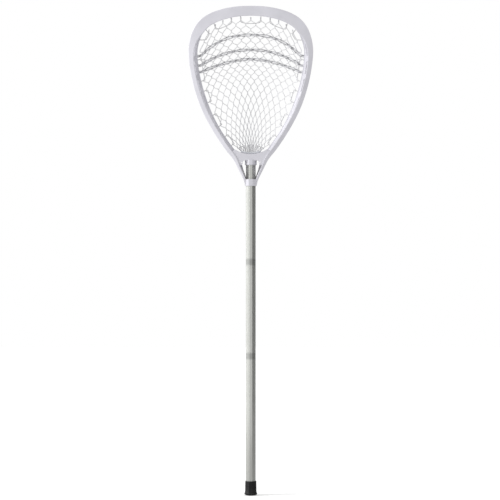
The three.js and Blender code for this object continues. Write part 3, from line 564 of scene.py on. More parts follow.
def makeApron():
    # its top follows the ball stop's arc, its sides the middle of the frame's front lips
    foot = socketTop - throat["gussetDrop"]
    s = stationsAt(np.linspace(throat["apronFromShare"], 1, 400))
    lip = placeAt(s, s["lip"] * throat["apronLipShare"], 0)[:, [0, 2]]
    lip = lip[lip[:, 0] < throat["apronReachShare"] * throat["ballRadius"]]
    x = np.linspace(-throat["shelfHalfWidth"], throat["shelfHalfWidth"], throat["apronSteps"])
    arc = np.column_stack([x, stopHeight(x, throat["shelfPlate"] / 2)])
    heights = np.linspace(arc[-1, 1] - throat["shoulderDrop"], foot, throat["apronSideSteps"])
    side = np.column_stack([np.interp(heights, lip[::-1, 1], lip[::-1, 0]), heights])
    inside = [
        (throat["gussetFoot"], foot),
        (throat["gussetInside"], socketTop),
        (-throat["gussetInside"], socketTop),
        (-throat["gussetFoot"], foot),
    ]
    corners = np.vstack([arc, side, inside, side[::-1] * [-1, 1]])
    onCurve = [throat["apronCurveRadius"]]
    top = [throat["apronEndRadius"], *onCurve * (len(arc) - 2), throat["apronEndRadius"]]
    down = [throat["apronShoulderRadius"], *onCurve * (len(side) - 1)]
    outline = roundCorners(corners, top + down + throat["apronFootRadii"] + down[::-1])
    kept = np.linalg.norm(np.roll(outline, -1, 0) - outline, axis=1) > throat["apronLeastSide"]
    front = -throat["shelfFront"]
    return slabPiece("apron", outline[kept], front, front + throat["apron"], throat["softEdge"], fromFront)


def makeSpine():
    face = shaftSize["depth"] / 2 + gap
    low = stick["collarBottom"] + throat["collarHeight"]
    high = socketTop - throat["socketHeight"]
    slope, thick = throat["spineSlope"], throat["spineThickness"]
    profile = [
        (face - gap, low - slope),
        (face + collarWall, low - slope),
        (face + thick, low + slope),
        (face + thick, high - slope),
        (face + throat["socketWall"], high + slope),
        (face - gap, high + slope),
    ]
    outline = roundCorners(profile, throat["spineRadii"])
    half = throat["spineWidth"] / 2

    def acrossX(points, x):
        return np.column_stack([np.full(len(points), x), points])

    return slabPiece("spine", outline, -half, half, throat["spineSoftEdge"], acrossX)


def sectionRings(s):
    # twelve corners of the frame's section, each rounded, at every station
    h = head["web"] / 2
    outer, inner = s["inset"], s["inset"] + s["rail"]
    foot = (outer + inner) / 2
    under, above = s["front"] + s["blade"], s["rear"] - s["rib"]
    nothing = np.zeros_like(outer)
    corners = [
        (nothing, s["front"] + s["lipSlope"]), (s["lip"], s["front"]), (s["lip"], under),
        (s["webTop"] + h, under), (foot + h, above), (inner, above), (inner, s["rear"]),
        (outer, s["rear"]), (outer, above), (foot - h, above), (s["webTop"] - h, under), (nothing, under),
    ]
    corners = np.stack([np.stack(c, -1) for c in corners], 1)
    made = roundCorners(corners, head["cornerRadii"])
    spread = {key: value[:, None] for key, value in s.items()}
    return placeAt(spread, made[..., 0], made[..., 1])


# Holes in the frame. Each is a tunnel whose mouths widen by a quarter circle, so that its rims are round.
holes = {
    "windowCount": 6,
    "windowHeight": 13,
    "windowMargin": 2,
    "windowCorner": 4.5,
    "windowBar": 13,
    "windowStep": 1.8,
    "windowsFrom": 0.335,
    "windowsTo": 0.79,
    "laceRadius": 2.1,
    "fromRear": 4.5,
    "rim": 0.7,
    "plateRim": 0.5,
    "overrun": 3,
}


def tunnelSteps(near, far, rim):
    # how far along the tunnel each ring is, and how much wider it is there
    run, wide = quarterRound(rim, 4)
    over = holes["overrun"]
    first = [(near - over, rim)] + [(near + r, w) for r, w in zip(run[::-1], wide[::-1])]
    last = [(far - r, w) for r, w in zip(run, wide)] + [(far + over, rim)]
    return first + last


def windowTunnel(start, end):
    # a rounded slot through the web, drawn as (way along the outline, depth) and carried through
    # the web's own slanting middle
    middle, length = (start + end) / 2, abs(end - start) * outlineLength
    half, tall = length / 2, holes["windowHeight"] / 2
    corners = [(-half, -tall), (half, -tall), (half, tall), (-half, tall)]
    outline = evenRing(roundCorners(corners, [holes["windowCorner"]] * 4, 7), holes["windowStep"])
    web = head["web"] / 2
    rings = []
    for offset, wider in tunnelSteps(-web, web, holes["rim"]):
        grown = insetOutline(outline, -wider)
        s = stationsAt(middle + grown[:, 0] / outlineLength)
        under, above = s["front"] + s["blade"], s["rear"] - s["rib"]
        depth = under + holes["windowMargin"] + tall + grown[:, 1]
        foot = s["inset"] + s["rail"] / 2
        webAt = s["webTop"] + (foot - s["webTop"]) * (depth - under) / (above - under)
        rings.append(placeAt(s, webAt + offset, depth))
    return loftPiece("window", rings)


def windowTunnels():
    run = (holes["windowsTo"] - holes["windowsFrom"]) / 2
    bar = holes["windowBar"] / outlineLength
    count = holes["windowCount"]
    length = (run - bar * (count - 1)) / count
    starts = (1 + holes["windowsFrom"]) / 2 + np.arange(count) * (length + bar)
    made = [windowTunnel(a, a + length) for a in starts]
    return made + [windowTunnel(1 - a - length, 1 - a) for a in starts]


def railTunnel(s, depth, halfSpan, radius, sides=20):
    # a round hole, or a slot as long as twice the half span, from outside the rear rail inwards
    cosine, sine = circle(sides).T
    slide, deep = radius * cosine, radius * sine
    slide = slide + np.sign(np.round(slide, 6)) * max(0, halfSpan - radius)
    rings = []
    for inward, wider in tunnelSteps(s["inset"], s["inset"] + s["rail"], holes["rim"]):
        share = 1 + wider / radius
        rings.append(placeAt(one(s), inward + 0 * deep, depth + deep * share, slide + wider * cosine))
    return loftPiece("hole", rings)


def one(s):
    # a single station, spread so that many places can be taken from it
    return {key: np.asarray(value)[None] if np.ndim(value) else value for key, value in s.items()}


def straightTunnel(centre, axis, near, far, radius, rim, sides=20):
    # a round hole along a main axis of the frame
    others = [i for i in range(3) if i != axis]
    rings = []
    for at, wider in tunnelSteps(near, far, rim):
        ring = np.tile(np.asarray(centre, float), (sides, 1))
        ring[:, axis] = at
        ring[:, others] += (radius + wider) * circle(sides)
        rings.append(ring)
    return loftPiece("hole", rings)


cap = {
    "wall": 1.7,
    "height": 37.5,
    "flangeWidth": 33.5,
    "seat": 7.65,
    "mouthSlope": 0.8,
    "seatRound": 0.4,
    "profile": [  # height, share of the flange's or the grip's width, roundness
        (0.0, 0.358, 1), (0.25, 0.62, 1), (0.9, 0.81, 1), (1.8, 0.92, 1), (2.8, 0.985, 1), (3.6, 1.0, 1),
        (5.0, 1.0, 1), (5.6, 0.992, 1), (6.2, 0.968, 0.95), (7.1, 0.938, 0.8), (8.4, 0.918, 0.6),
        (9.8, 0.912, 0.35), (11.4, 1.015, 0), (22.0, 1.004, 0), (22.5, 0.98, 0), (23.3, 0.98, 0),
        (23.8, 1.003, 0), (28.0, 1.0, 0), (28.5, 0.975, 0), (29.3, 0.975, 0), (29.8, 0.998, 0),
        (36.0, 0.99, 0), (37.0, 0.975, 0), (37.5, 0.95, 0),
    ],
}


def makeCap():
    # rings from the flat end up the outside, over the top and down the bore; each ring is a mix
    # of the eight-sided grip and an ellipse
    grip = shaftRing(cap["wall"] + gap)
    gripWidth = shaftSize["width"] + 2 * (cap["wall"] + gap)
    angle = np.arctan2(grip[:, 1], grip[:, 0])
    deeper = shaftSize["depth"] - shaftSize["width"]

    def ring(z, width, roundness):
        oval = np.column_stack([width / 2 * np.cos(angle), (width + deeper) / 2 * np.sin(angle)])
        return atHeight(grip * width / gripWidth * (1 - roundness) + oval * roundness, z)

    rings = [ring(z, w * (cap["flangeWidth"] if r else gripWidth), r) for z, w, r in cap["profile"]]
    top, seat, slope, bend = cap["height"], cap["seat"], cap["mouthSlope"], cap["seatRound"]
    bore = [(top, slope), (top - slope, 0), (seat + bend, 0), (seat, -bend)]
    rings += [atHeight(shaftRing(gap + grow), z) for z, grow in bore]
    return evenShading(loftPiece("buttCap", rings))


def makeShaft():
    # the tube's wall as one closed band: up the outside, over the end, down the inside
    top, bottom, rim = stick["shaftTop"], shaftSize["bottom"], shaftSize["rim"]
    dish = shaftSize["dish"]
    levels = [(bottom, -rim), (bottom + rim, 0), (top - rim, 0), (top, -rim)]
    outside = [atHeight(shaftRing(grow, dish), z) for z, grow in levels]
    inside = [atHeight(shaftRing(-shaftSize["wall"], dish), z) for z in (top, bottom)]
    piece = loftPiece("shaftTube", outside + inside, closedBand=True)
    return evenShading(combined(piece, screwBore(), "DIFFERENCE"))


screw = {
    "headRadius": 4,
    "headHeight": 2.6,
    "rimHeight": 0.7,
    "rimRound": 0.25,
    "crownShare": 0.35,
    "radius": 1.75,
    "length": 15,
    "threadDepth": 0.16,
    "threadStep": 0.35,
    "threadEnd": 0.4,
    "tipRadius": 0.05,
    "tipRise": 0.1,
    "recess": 1.4,
    "recessShares": [0.35, 1.1],
    "recessOverrun": 0.6,
    "armShare": 0.5,
    "armHalf": 0.36,
    "sides": 40,
    "boreBeyond": 4,
    "boreLength": 22,
    "boreRim": 0.001,
}
screwSeat = shaftSize["depth"] / 2 + gap + throat["spineThickness"]
spineBottom = stick["collarBottom"] + throat["collarHeight"]
screwHeight = spineBottom + (stick["shaftTop"] - spineBottom - throat["socketHeight"]) / 2


def screwBore():
    far = screwSeat + screw["boreBeyond"]
    near, radius = far - screw["boreLength"], screw["radius"] + gap
    return straightTunnel((0, 0, screwHeight), 1, near, far, radius, screw["boreRim"], 24)


def makeScrew():
    # a lathe: radius and place along the screw, with shallow thread ridges, and a cross cut into
    # the head
    seat, radius, rim = screwSeat + gap, screw["radius"], screw["rimHeight"]
    headRadius, edge, flat = screw["headRadius"], screw["rimRound"], screw["crownShare"]
    tip = seat - screw["length"]
    ridge = np.arange(0, screw["length"] - 2 * radius - screw["threadEnd"], screw["threadStep"])
    profile = [(screw["tipRadius"], tip), (radius / 3, tip + screw["tipRise"])]
    for i, along in enumerate(ridge):
        profile.append((radius - screw["threadDepth"] * (i % 2), tip + 2 * radius + along))
    profile += [(radius, seat), (headRadius - edge, seat), (headRadius, seat + edge)]
    for a in np.linspace(0.1, math.pi / 2, 7):
        reach = headRadius * (flat + (1 - flat) * math.cos(a))
        profile.append((reach, seat + rim + (screw["headHeight"] - rim) * math.sin(a)))
    rings = [acrossScrew(circle(screw["sides"]) * r, y) for r, y in profile]
    piece = loftPiece("throatScrew", rings, 30)
    arm, half = headRadius * screw["armShare"], screw["armHalf"]
    quarter = np.array([(arm, -half), (arm, half), (half, half)])
    turns = [(1, 0), (0, 1), (-1, 0), (0, -1)]
    plus = np.vstack([quarter @ [(c, s), (-s, c)] for c, s in turns])
    top = seat + screw["headHeight"]
    depths = (top - screw["recess"], top + screw["recessOverrun"])
    rings = [acrossScrew(plus * share, y) for y, share in zip(depths, screw["recessShares"])]
    return evenShading(combined(piece, loftPiece("cross", rings), "DIFFERENCE"))


def acrossScrew(outline, depth):
    # an outline round the screw's axis, at a depth
    return fromFront(outline + [0, screwHeight], depth)


pad = {
    "thickness": 5,
    "halfWidth": 27,
    "frontInset": 3,
    "rear": 15.5,
    "softEdge": 1.3,
    "crown": 0.5,
}


def makePad():
    front = pad["frontInset"] - throat["shelfFront"]
    return cushionPiece(
        "ballStopPad", alongArc(pad["halfWidth"]), front, pad["rear"],
        gap, gap + pad["thickness"] - pad["crown"], pad["softEdge"], pad["crown"], onArc
    )


# The net: rows of joins, those of each row between those of the next. A table holds a value at a row.
net = {
    "columns": 12,
    "rows": 24,
    "topGap": 11.5,
    "bottomGap": 5.4,
    "edgeGap": 7,
    "thickness": 2.2,
    "joinLengthShare": 0.36,
    "pocketDepth": 46,
    "topBlendRows": 6,
    "cordRadius": 0.88,
    "joinRadius": 1.0,
    "joinHalf": 0.78,
    "joinReach": 0.75,
    "join": 3,
    "cord": 2,
    "loopSwell": 0.9,
    "loopLength": 3.2,
    "loopLead": 0.3,
    "nudge": 0.1,
}
rowPitchShares = [
    [0, 0.74], [6, 0.73], [8, 0.66], [10, 0.61], [12, 0.69], [14, 0.9], [16, 1.05], [20, 1], [24, 0.93],
]
rowDroopShares = [
    [0, 0.1064], [3, 0.1191], [6, 0.0872], [8, 0.0723],
    [15, 0.0915], [19, 0.0638], [22, 0.0319], [24, 0.0128],
]
rowCurveShares = [[0, 3.4], [3, 2.4], [6, 2.1], [8, 1.75], [24, 1.8]]
columnSpreadShares = [[0, 0.25], [4, 0.12], [8, 0.03], [14, 0], [20, -0.12], [24, -0.2]]
pocketShares = [
    [0, 0], [3, 0.07], [8, 0.3], [12, 0.66], [16, 0.97], [18, 1], [21, 0.72], [23, 0.26], [24, 0.1],
]

edgeSteps = 500
edge = stationsAt(0.5 + np.arange(edgeSteps + 1) / (2 * edgeSteps))
innerEdge = placeAt(edge, edge["inset"] + edge["rail"], 0)


def insideAt(height):
    # half the width inside the frame at a height, below the widest place of the scoop
    x, z = innerEdge[100:, 0], innerEdge[100:, 2]
    return np.interp(height, z[::-1], x[::-1])


def wallAt(point):
    # the nearest section of the frame
    distance = np.hypot(edge["point"][:, 0] - abs(point[0]), edge["point"][:, 2] - point[2])
    share = 0.5 + np.argmin(distance) / (2 * edgeSteps)
    found = stationsAt([share if point[0] >= 0 else 1 - share])
    return {key: value[0] for key, value in found.items()}


firstRow = stick["length"] - head["scoopBand"] - net["topGap"]
netHeight = firstRow - net["bottomGap"] - float(stopHeight(insideAt(shelfTop) - net["edgeGap"]))
rowSteps = np.concatenate([[0], np.cumsum(through(rowPitchShares, np.arange(net["rows"]) + 0.5))])


def rowHeight(row):
    row = np.asarray(row, float)
    i = np.clip(np.floor(row), 0, net["rows"] - 1).astype(int)
    passed = rowSteps[i] + (rowSteps[i + 1] - rowSteps[i]) * (row - i)
    return firstRow - netHeight * passed / rowSteps[-1]


def droop(row, across):
    return stick["headLength"] * through(rowDroopShares, row) * np.abs(across) ** through(rowCurveShares, row)


laceRadius = 1.1
laceRoom = net["thickness"] / 2 + gap + laceRadius


def edgeDepth(x, z):
    return wallAt((x, 0, z))["rear"] - holes["fromRear"] + laceRoom


rows = np.arange(net["rows"] + 1)
rowEndHeight = rowHeight(rows) - droop(rows, 1)
rowEndWidth = insideAt(rowEndHeight) - net["edgeGap"]
rowEndDepth = np.array([edgeDepth(x, z) for x, z in zip(rowEndWidth, rowEndHeight)])
widthTable, depthTable = np.column_stack([rows, rowEndWidth]), np.column_stack([rows, rowEndDepth])


def acrossAt(row, column):
    even = 2 * np.asarray(column, float) / net["columns"] - 1
    return even + through(columnSpreadShares, row) * np.sin(math.pi * even) / math.pi


def flatPoint(row, column):
    # a place on the net as seen from the front
    across = acrossAt(row, column)
    x = across * through(widthTable, row)
    z = rowHeight(row) - droop(row, across)
    return np.stack(np.broadcast_arrays(x, 0.0, z), -1)


topColumns = net["columns"] / 2 + np.arange(net["columns"] // 2 + 1)
topTable = [[float(acrossAt(0, c)), edgeDepth(*flatPoint(0, c)[[0, 2]])] for c in topColumns]


def pocketAt(row, across):
    # depth: the frame's own at the row's end, the scoop's near the top, and the bag's 1 - across^2
    nearTop = np.maximum(0, 1 - np.maximum(0, row) / net["topBlendRows"]) ** 2
    top = through(topTable, np.abs(across)) - rowEndDepth[0]
    bag = net["pocketDepth"] * through(pocketShares, row) * np.maximum(0, 1 - np.asarray(across) ** 2)
    return through(depthTable, row) + nearTop * top + bag


def netPoint(row, column):
    made = flatPoint(row, column)
    made[..., 1] = pocketAt(row, acrossAt(row, column))
    return made


def netDepth(x, z):
    # the depth at a place seen from the front, whose row is found by halving
    x, z = np.broadcast_arrays(np.asarray(x, float), np.asarray(z, float))
    low, high = np.full(x.shape, -1.0), np.full(x.shape, net["rows"] + 1.0)
    for _ in range(24):
        row = (low + high) / 2
        above = rowHeight(row) - droop(row, x / through(widthTable, row)) > z
        low, high = np.where(above, row, low), np.where(above, high, row)
    return pocketAt(low, x / through(widthTable, low))


def offNet(spot, room):
    # straight behind a place on the net: its depth and the room times the length of (1, slopes)
    x, z = spot[..., 0], spot[..., 2]
    step = net["cord"]
    acrossSlope = (netDepth(x + step, z) - netDepth(x - step, z)) / (2 * step)
    upSlope = (netDepth(x, z + step) - netDepth(x, z - step)) / (2 * step)
    made = spot.copy()
    made[..., 1] = netDepth(x, z) + room * np.sqrt(1 + acrossSlope**2 + upSlope**2)
    return made


def acrossNet(row, column):
    # the way from column to column at a place on the net
    return unit(netPoint(row, column + net["nudge"]) - netPoint(row, column - net["nudge"]))


def strandTube(k):
    # a strand goes from join to join, left and right of the middle by turns, and lies beside
    # its neighbour in each join
    count, half = net["rows"], net["joinLengthShare"] / 2
    outermost = k in (0, 2 * net["columns"] - 1)
    start, end = (1, count - 1) if outermost else (0, count)
    r = np.arange(start, end + 1)
    odd = r % 2 == 1
    column = np.where(odd, k // 2 + 0.5, (k + 1) // 2)
    side = np.where(odd, -1 if k % 2 == 0 else 1, -1 if k % 2 else 1)
    row = np.stack([r - half, r + half], -1).ravel()
    column, side = np.repeat(column, 2), np.repeat(side, 2)
    alone = np.isin(column, (0, net["columns"]))
    beside = side * np.where(alone, 0, net["joinHalf"])
    line = smoothLine(netPoint(row, column) + acrossNet(row, column) * beside[:, None], 4)
    # thicker in a join than between joins, with the mean of five neighbouring radii
    t = np.linspace(0, len(row) - 1, len(line))
    inJoin = np.abs((t % 2) - 0.5) < net["joinReach"]
    radii = np.where(inJoin, net["joinRadius"], net["cordRadius"])
    radii = np.convolve(np.pad(radii, 2, "edge"), np.ones(5) / 5, "valid")
    return {"line": line, "radii": radii, "sides": 8, "reference": [0, 1, 0]}


def endLoop(row, column, onwards):
    # a loop past a join, which closes two strands: across by cos t times a half width that swells
    # by sin^2 t, onwards by sin t times the loop's length
    centre = netPoint(row + onwards * net["joinLengthShare"] / 2, column)
    along = acrossNet(row, column)
    ahead = unit(netPoint(row + onwards * net["loopLead"], column) - netPoint(row, column))
    t = np.linspace(0, math.pi, 15)[:, None]
    swell = net["joinHalf"] + net["loopSwell"] * np.sin(t) ** 2
    line = centre - np.cos(t) * swell * along + np.sin(t) * net["loopLength"] * ahead
    return {"line": line, "radii": net["cordRadius"], "sides": 8}


def makeNet():
    tubes = [strandTube(k) for k in range(2 * net["columns"])]
    for column in range(1, net["columns"]):
        tubes += [endLoop(0, column, -1), endLoop(net["rows"], column, 1)]
    return tubePiece("netStrands", tubes)


# Strings that hold the net in the frame, and the shooting cords woven through its rows.
lacing = {
    "radius": laceRadius,
    "slack": 0.9,
    "knot": 2.3,
    "knotPastShare": 0.6,
    "knotCordShare": 0.85,
    "tailBend": 3,
    "tail": 5,
    "tailHang": [0, 0.5, -2.5],
    "tailRadiusShare": 0.9,
    "shelfRoom": 0.6,
    "wallSteps": 3,
    "step": 0.9,
    "easing": 3.2,
    "softening": 9,
    "topPairs": [[2, 4], [5, 7], [8, 10]],
    "sidePairs": [[4, 10], [12, 14], [16, 18], [20, 22]],
    "bottomPairs": [[1, 3], [5, 7], [9, 11]],
}
shooter = {
    "radius": 1.7,
    "knot": 2.2,
    "spread": 0.1,
    "rows": [3, 6, 8],
    "joinShare": 0.38,
    "edgeShare": 0.15,
    "flatness": 0.86,
    "step": 1.2,
    "knotPastShare": 0.9,
    "knotSizeShare": 1.05,
    "knotCordShare": 0.72,
    "tail": 9,
    "bendShare": 0.5,
    "tipShare": 0.25,
    "hangShare": 0.45,
    "tailRadiusShare": 0.85,
}
laceReach = net["join"] / 2 + gap + laceRadius + lacing["slack"] / 2
behindRoom = laceRoom + lacing["slack"]
shooterWave = net["thickness"] / 2 + gap + shooter["radius"] + shooter["spread"]
besideShooters = shooterWave + shooter["radius"] + gap + laceRadius + lacing["slack"]
shooterLift = shooter["radius"] + (shooter["spread"] + gap) / 2
knotLift = shooter["knot"] + gap / 2


def besideJoin(row, column):
    # inside a cell, beside a join at the edge of the net
    join = unit(flatPoint(row - 1, column) - flatPoint(row + 1, column))
    cell = column + 0.5 * np.sign(net["columns"] / 2 - column)
    inwards = unit(flatPoint(row, cell) - flatPoint(row, column))
    return flatPoint(row, column) + inwards * laceReach / np.linalg.norm(np.cross(inwards, join))


def belowJoin(column):
    # inside a cell, in the corner below a join of the first row
    corner = flatPoint(net["joinLengthShare"] / 2, column)
    a, b = (unit(flatPoint(1 - net["joinLengthShare"] / 2, column + d) - corner) for d in (-0.5, 0.5))
    middle = unit(a + b)
    reach = laceReach - net["join"] / 2 + net["cord"] / 2
    return corner + middle * reach / np.linalg.norm(np.cross(a, middle))


def atDepth(spot, depth):
    return np.array([spot[0], depth, spot[2]])


def wallTie(join, eye):
    # from outside the frame through its hole, in front of the net's edge, to a cell
    s = wallAt(join)
    inner = placeAt(s, s["inset"] + s["rail"], 0)
    passed = [offNet(inner + (eye - inner) * t, -laceRoom)[1] for t in (0.4, 0.6, 0.8, 1)]
    depth = min(s["rear"] - holes["fromRear"], *passed)
    outer = placeAt(s, s["inset"] - gap - laceRadius, depth)
    mouth = placeAt(s, s["inset"] + s["rail"] + laceRadius, depth)
    return {"s": s, "depth": depth, "outer": outer, "mouth": mouth, "front": atDepth(eye, depth), "eye": eye}


def topTie(column):
    return wallTie(flatPoint(0, column), belowJoin(column))


def sideTie(row, right):
    start = 0.5 if row % 2 else 0
    column = net["columns"] - start if right else start
    return wallTie(flatPoint(row, column), besideJoin(row, column))


def shelfTie(column):
    tie, eye = netPoint(net["rows"], column), flatPoint(net["rows"] - 1, column)
    depth = tie[1] - laceRoom - lacing["shelfRoom"]
    outer = np.array([tie[0], depth, stopHeight(tie[0], throat["shelfPlate"]) - gap - laceRadius])
    mouth = np.array([tie[0], depth, stopHeight(tie[0])])
    return {"depth": depth, "outer": outer, "mouth": mouth, "front": atDepth(eye, depth), "eye": eye}


def topPairs():
    made = [(sideTie(1, False), [], topTie(1))]
    for a, b in lacing["topPairs"]:
        start, end = topTie(a), topTie(b)
        between = []
        for t in (0.25, 0.5, 0.75):
            eyes = start["eye"] + (end["eye"] - start["eye"]) * t
            between.append(offNet((flatPoint(1, a + (b - a) * t) + eyes) / 2, behindRoom))
        made.append((start, between, end))
    return made + [(topTie(net["columns"] - 1), [], sideTie(1, True))]


def sidePairs(right):
    made = []
    for a, b in lacing["sidePairs"]:
        room = besideShooters if any(a < row < b for row in shooter["rows"]) else behindRoom
        column = net["columns"] if right else 0
        between = [offNet(besideJoin(row, column), room) for row in range(a + 1, b)]
        made.append((sideTie(a, right), between, sideTie(b, right)))
    return made


def bottomPairs():
    made = []
    for a, b in lacing["bottomPairs"]:
        between = [offNet(flatPoint(net["rows"] - 1, (a + b) / 2), behindRoom)]
        made.append((shelfTie(a), between, shelfTie(b)))
    return made


def outsideRun(a, b):
    # places outside the wall between two ties
    start, end, steps = a["s"]["along"], b["s"]["along"], lacing["wallSteps"]
    s = stationsAt(start + (end - start) * np.arange(1, steps + 1) / (steps + 1))
    return list(placeAt(s, s["inset"] - gap - laceRadius, s["rear"] - holes["fromRear"]))


def eased(points, reach):
    # each corner gives way to two points, a reach or 0.4 of a side before it and after it
    points = np.asarray(points, float)
    sides = np.diff(points, axis=0)
    size = np.linalg.norm(sides, axis=1, keepdims=True)
    cut = np.minimum(reach, 0.4 * size) * sides / size
    pairs = np.stack([points[1:-1] - cut[:-1], points[1:-1] + cut[1:]], 1).reshape(-1, 3)
    return np.vstack([points[0], pairs, points[-1]])


def makeString(name, pairs, outside=True):
    # from pair to pair the string runs outside the wall, or straight on below the shelf
    points = []
    for i, (start, between, end) in enumerate(pairs):
        if i and outside:
            points += outsideRun(pairs[i - 1][2], start)
        points += [start["outer"], start["mouth"], start["front"], offNet(start["eye"], behindRoom)]
        points += between + [offNet(end["eye"], behindRoom), end["front"], end["mouth"], end["outer"]]
    line = smoothLine(eased(points, lacing["easing"]), 5)
    line = softened(evenly(line, lacing["step"]), lacing["softening"])
    radius = lacing["radius"]
    tubes = [{"line": line, "radii": radius, "sides": 10}]
    for end, inner in ((line[0], line[4]), (line[-1], line[-5])):
        outwards = unit(end - inner)
        knot = end + outwards * lacing["knot"] * lacing["knotPastShare"]
        tubes.append(knotTube(knot, outwards, lacing["knot"], radius * lacing["knotCordShare"]))
        tip = knot + outwards * lacing["tail"] + lacing["tailHang"]
        tail = smoothLine([knot, knot + outwards * lacing["tailBend"], tip], 6)
        tubes.append({"line": tail, "radii": radius * lacing["tailRadiusShare"], "sides": 8})
    return tubePiece(name, tubes)


def shooterRun(row, level):
    # over and under the joins by turns; level is 1 for the upper run and -1 for the lower one
    start = 0.5 if row % 2 else 0
    column = start + np.arange(int(net["columns"] + 1 - 2 * start))
    share = shooter["joinShare"]
    above = unit(np.cross(flatPoint(row, column + share) - flatPoint(row, column - share), [0, 1, 0]))
    turns = np.where(np.arange(len(column)) % 2, -1, 1) * level * shooterWave
    past = shooter["edgeShare"]
    kept = np.clip(column[:, None] + [-share, share], -past, net["columns"] + past)
    lifted = flatPoint(row, kept) + above[:, None, :] * level * shooterLift
    return offNet(lifted, np.repeat(turns[:, None], 2, 1)).reshape(-1, 3)


def shooterEnd(row, column):
    s = wallAt(flatPoint(row, column))
    return s, s["rear"] - holes["fromRear"], np.sign(s["heading"][2])


def makeShooter(name, row):
    # in at the left wall, across to the right one, round its rail and back below
    def at(end, inward, level):
        s, depth, upwards = end
        return placeAt(s, inward, depth, upwards * level)

    left, right = shooterEnd(row, 0), shooterEnd(row, net["columns"])
    radius, reach = shooter["radius"], shooter["tail"]
    insideWall = [end[0]["inset"] + end[0]["rail"] + radius for end in (left, right)]
    outside, turn = left[0]["inset"] - gap, right[0]["inset"] - gap - radius
    start = [at(left, outside, knotLift), at(left, insideWall[0], shooterLift)]
    middle = [at(right, insideWall[1], shooterLift), at(right, turn, shooterLift)]
    middle += [at(right, turn, -shooterLift), at(right, insideWall[1], -shooterLift)]
    end = [at(left, insideWall[0], -shooterLift), at(left, outside, -knotLift)]
    points = np.vstack([start, shooterRun(row, 1), middle, shooterRun(row, -1)[::-1], end])
    line = evenly(smoothLine(points, 7), shooter["step"])
    flat = {"reference": [0, 1, 0], "flatness": shooter["flatness"]}
    tubes = [{"line": line, "radii": radius, "sides": 14, **flat}]
    outwards = -left[0]["inwards"]
    for end, lean in ((line[0], 1), (line[-1], -1)):
        knot = end + outwards * shooter["knot"] * shooter["knotPastShare"]
        size = shooter["knot"] * shooter["knotSizeShare"]
        tubes.append(knotTube(knot, outwards, size, radius * shooter["knotCordShare"], 10))
        bend = knot + outwards * reach * shooter["bendShare"] + [0, 0, lean]
        hang = [0, 1, -reach * shooter["hangShare"]]
        tail = smoothLine([knot, bend, bend + outwards * reach * shooter["tipShare"] + hang], 7)
        tubes.append({"line": tail, "radii": radius * shooter["tailRadiusShare"], "sides": 12})
    return tubePiece(name, tubes)


def throatSolids():
    low, plate = stick["collarBottom"], throat["shelfPlate"]
    foot, top = socketTop - throat["socketHeight"], socketTop + throat["socketOverlap"]
    blockFoot = socketTop - throat["blockOverlap"]
    shelf = cushionPiece(
        "shelf", alongArc(throat["shelfHalfWidth"]), -throat["shelfFront"], head["rearAtThroat"],
        -plate, 0, throat["softEdge"], 0, onArc
    )
    return [
        sleevePiece("collar", low, low + throat["collarHeight"], collarWall, throat["collarFlare"]),
        sleevePiece("socket", foot, top, throat["socketWall"], 0),
        sleevePiece("block", blockFoot, shelfTop - plate / 2, -gap, 0, throat["blockSoftEdge"]),
        shelf,
        makeApron(),
        makeSpine(),
    ]


def laceTunnels():
    pairs = topPairs() + sidePairs(False) + sidePairs(True)
    ties = [tie for start, _, end in pairs for tie in (start, end)]
    return [railTunnel(tie["s"], tie["depth"], 0, holes["laceRadius"]) for tie in ties]


def slotTunnels():
    # each slot holds the two runs of a shooting cord, one above the other
    span, high = knotLift + shooter["radius"] + gap, shooter["radius"] + gap
    ends = [shooterEnd(row, column) for row in shooter["rows"] for column in (0, net["columns"])]
    return [railTunnel(s, depth, span, high, 28) for s, depth, _ in ends]


def shelfTunnels():
    made = []
    for tie in [tie for start, _, end in bottomPairs() for tie in (start, end)]:
        x, y = tie["mouth"][:2]
        levels = (float(stopHeight(x, throat["shelfPlate"])), float(stopHeight(x)))
        made.append(straightTunnel((x, y, 0), 2, *levels, holes["laceRadius"], holes["plateRim"]))
    return made


def eyeTunnels():
    front, height = -throat["shelfFront"], socketTop - throat["eyeDrop"]
    sizes = (front, front + throat["apron"], throat["eyeRadius"], holes["plateRim"])
    places = [(side * throat["eyeHalfSpan"], 0, height) for side in (-1, 1)]
    return [straightTunnel(place, 1, *sizes) for place in places]


def makeHead():
    piece = loftPiece("headFrame", sectionRings(stationsAt(np.linspace(0, 1, head["stations"] + 1))))
    for solid in throatSolids():
        piece = combined(piece, solid, "UNION")
    print("stage: head frame united,", len(piece.data.polygons), "faces")
    boreLevels = (stick["collarBottom"] - holes["overrun"], socketTop)
    bore = loftPiece("bore", [atHeight(shaftRing(gap), z) for z in boreLevels])
    for tunnels in (windowTunnels(), laceTunnels(), slotTunnels(), shelfTunnels(), eyeTunnels()):
        piece = combined(piece, joined(tunnels), "DIFFERENCE")
    for cutter in (bore, screwBore()):
        piece = combined(piece, cutter, "DIFFERENCE")
    piece.name = "headFrame"
    shadeByAngle(piece, head["sharpAngle"])
    return evenShading(piece)


# Shader nodes. A value given to a node is a number, a colour, a vector or another node's output.
def give(tree, socket, value):
    if isinstance(value, bpy.types.NodeSocket):
        tree.links.new(value, socket)
    else:
        socket.default_value = value


def node(tree, kind, values, **settings):
    # a new node's outputs; values holds what goes into its sockets, by number or label
    made = tree.nodes.new(kind)
    for label, setting in settings.items():
        setattr(made, label, setting)
    for label, value in values.items():
        give(tree, made.inputs[label], value)
    return made.outputs


def maths(tree, operation, *values):
    return node(tree, "ShaderNodeMath", dict(enumerate(values)), operation=operation)[0]


def noise(tree, place, scale, detail=2, roughness=0.5):
    values = {"Vector": place, "Scale": scale, "Detail": detail, "Roughness": roughness}
    return node(tree, "ShaderNodeTexNoise", values)["Fac"]


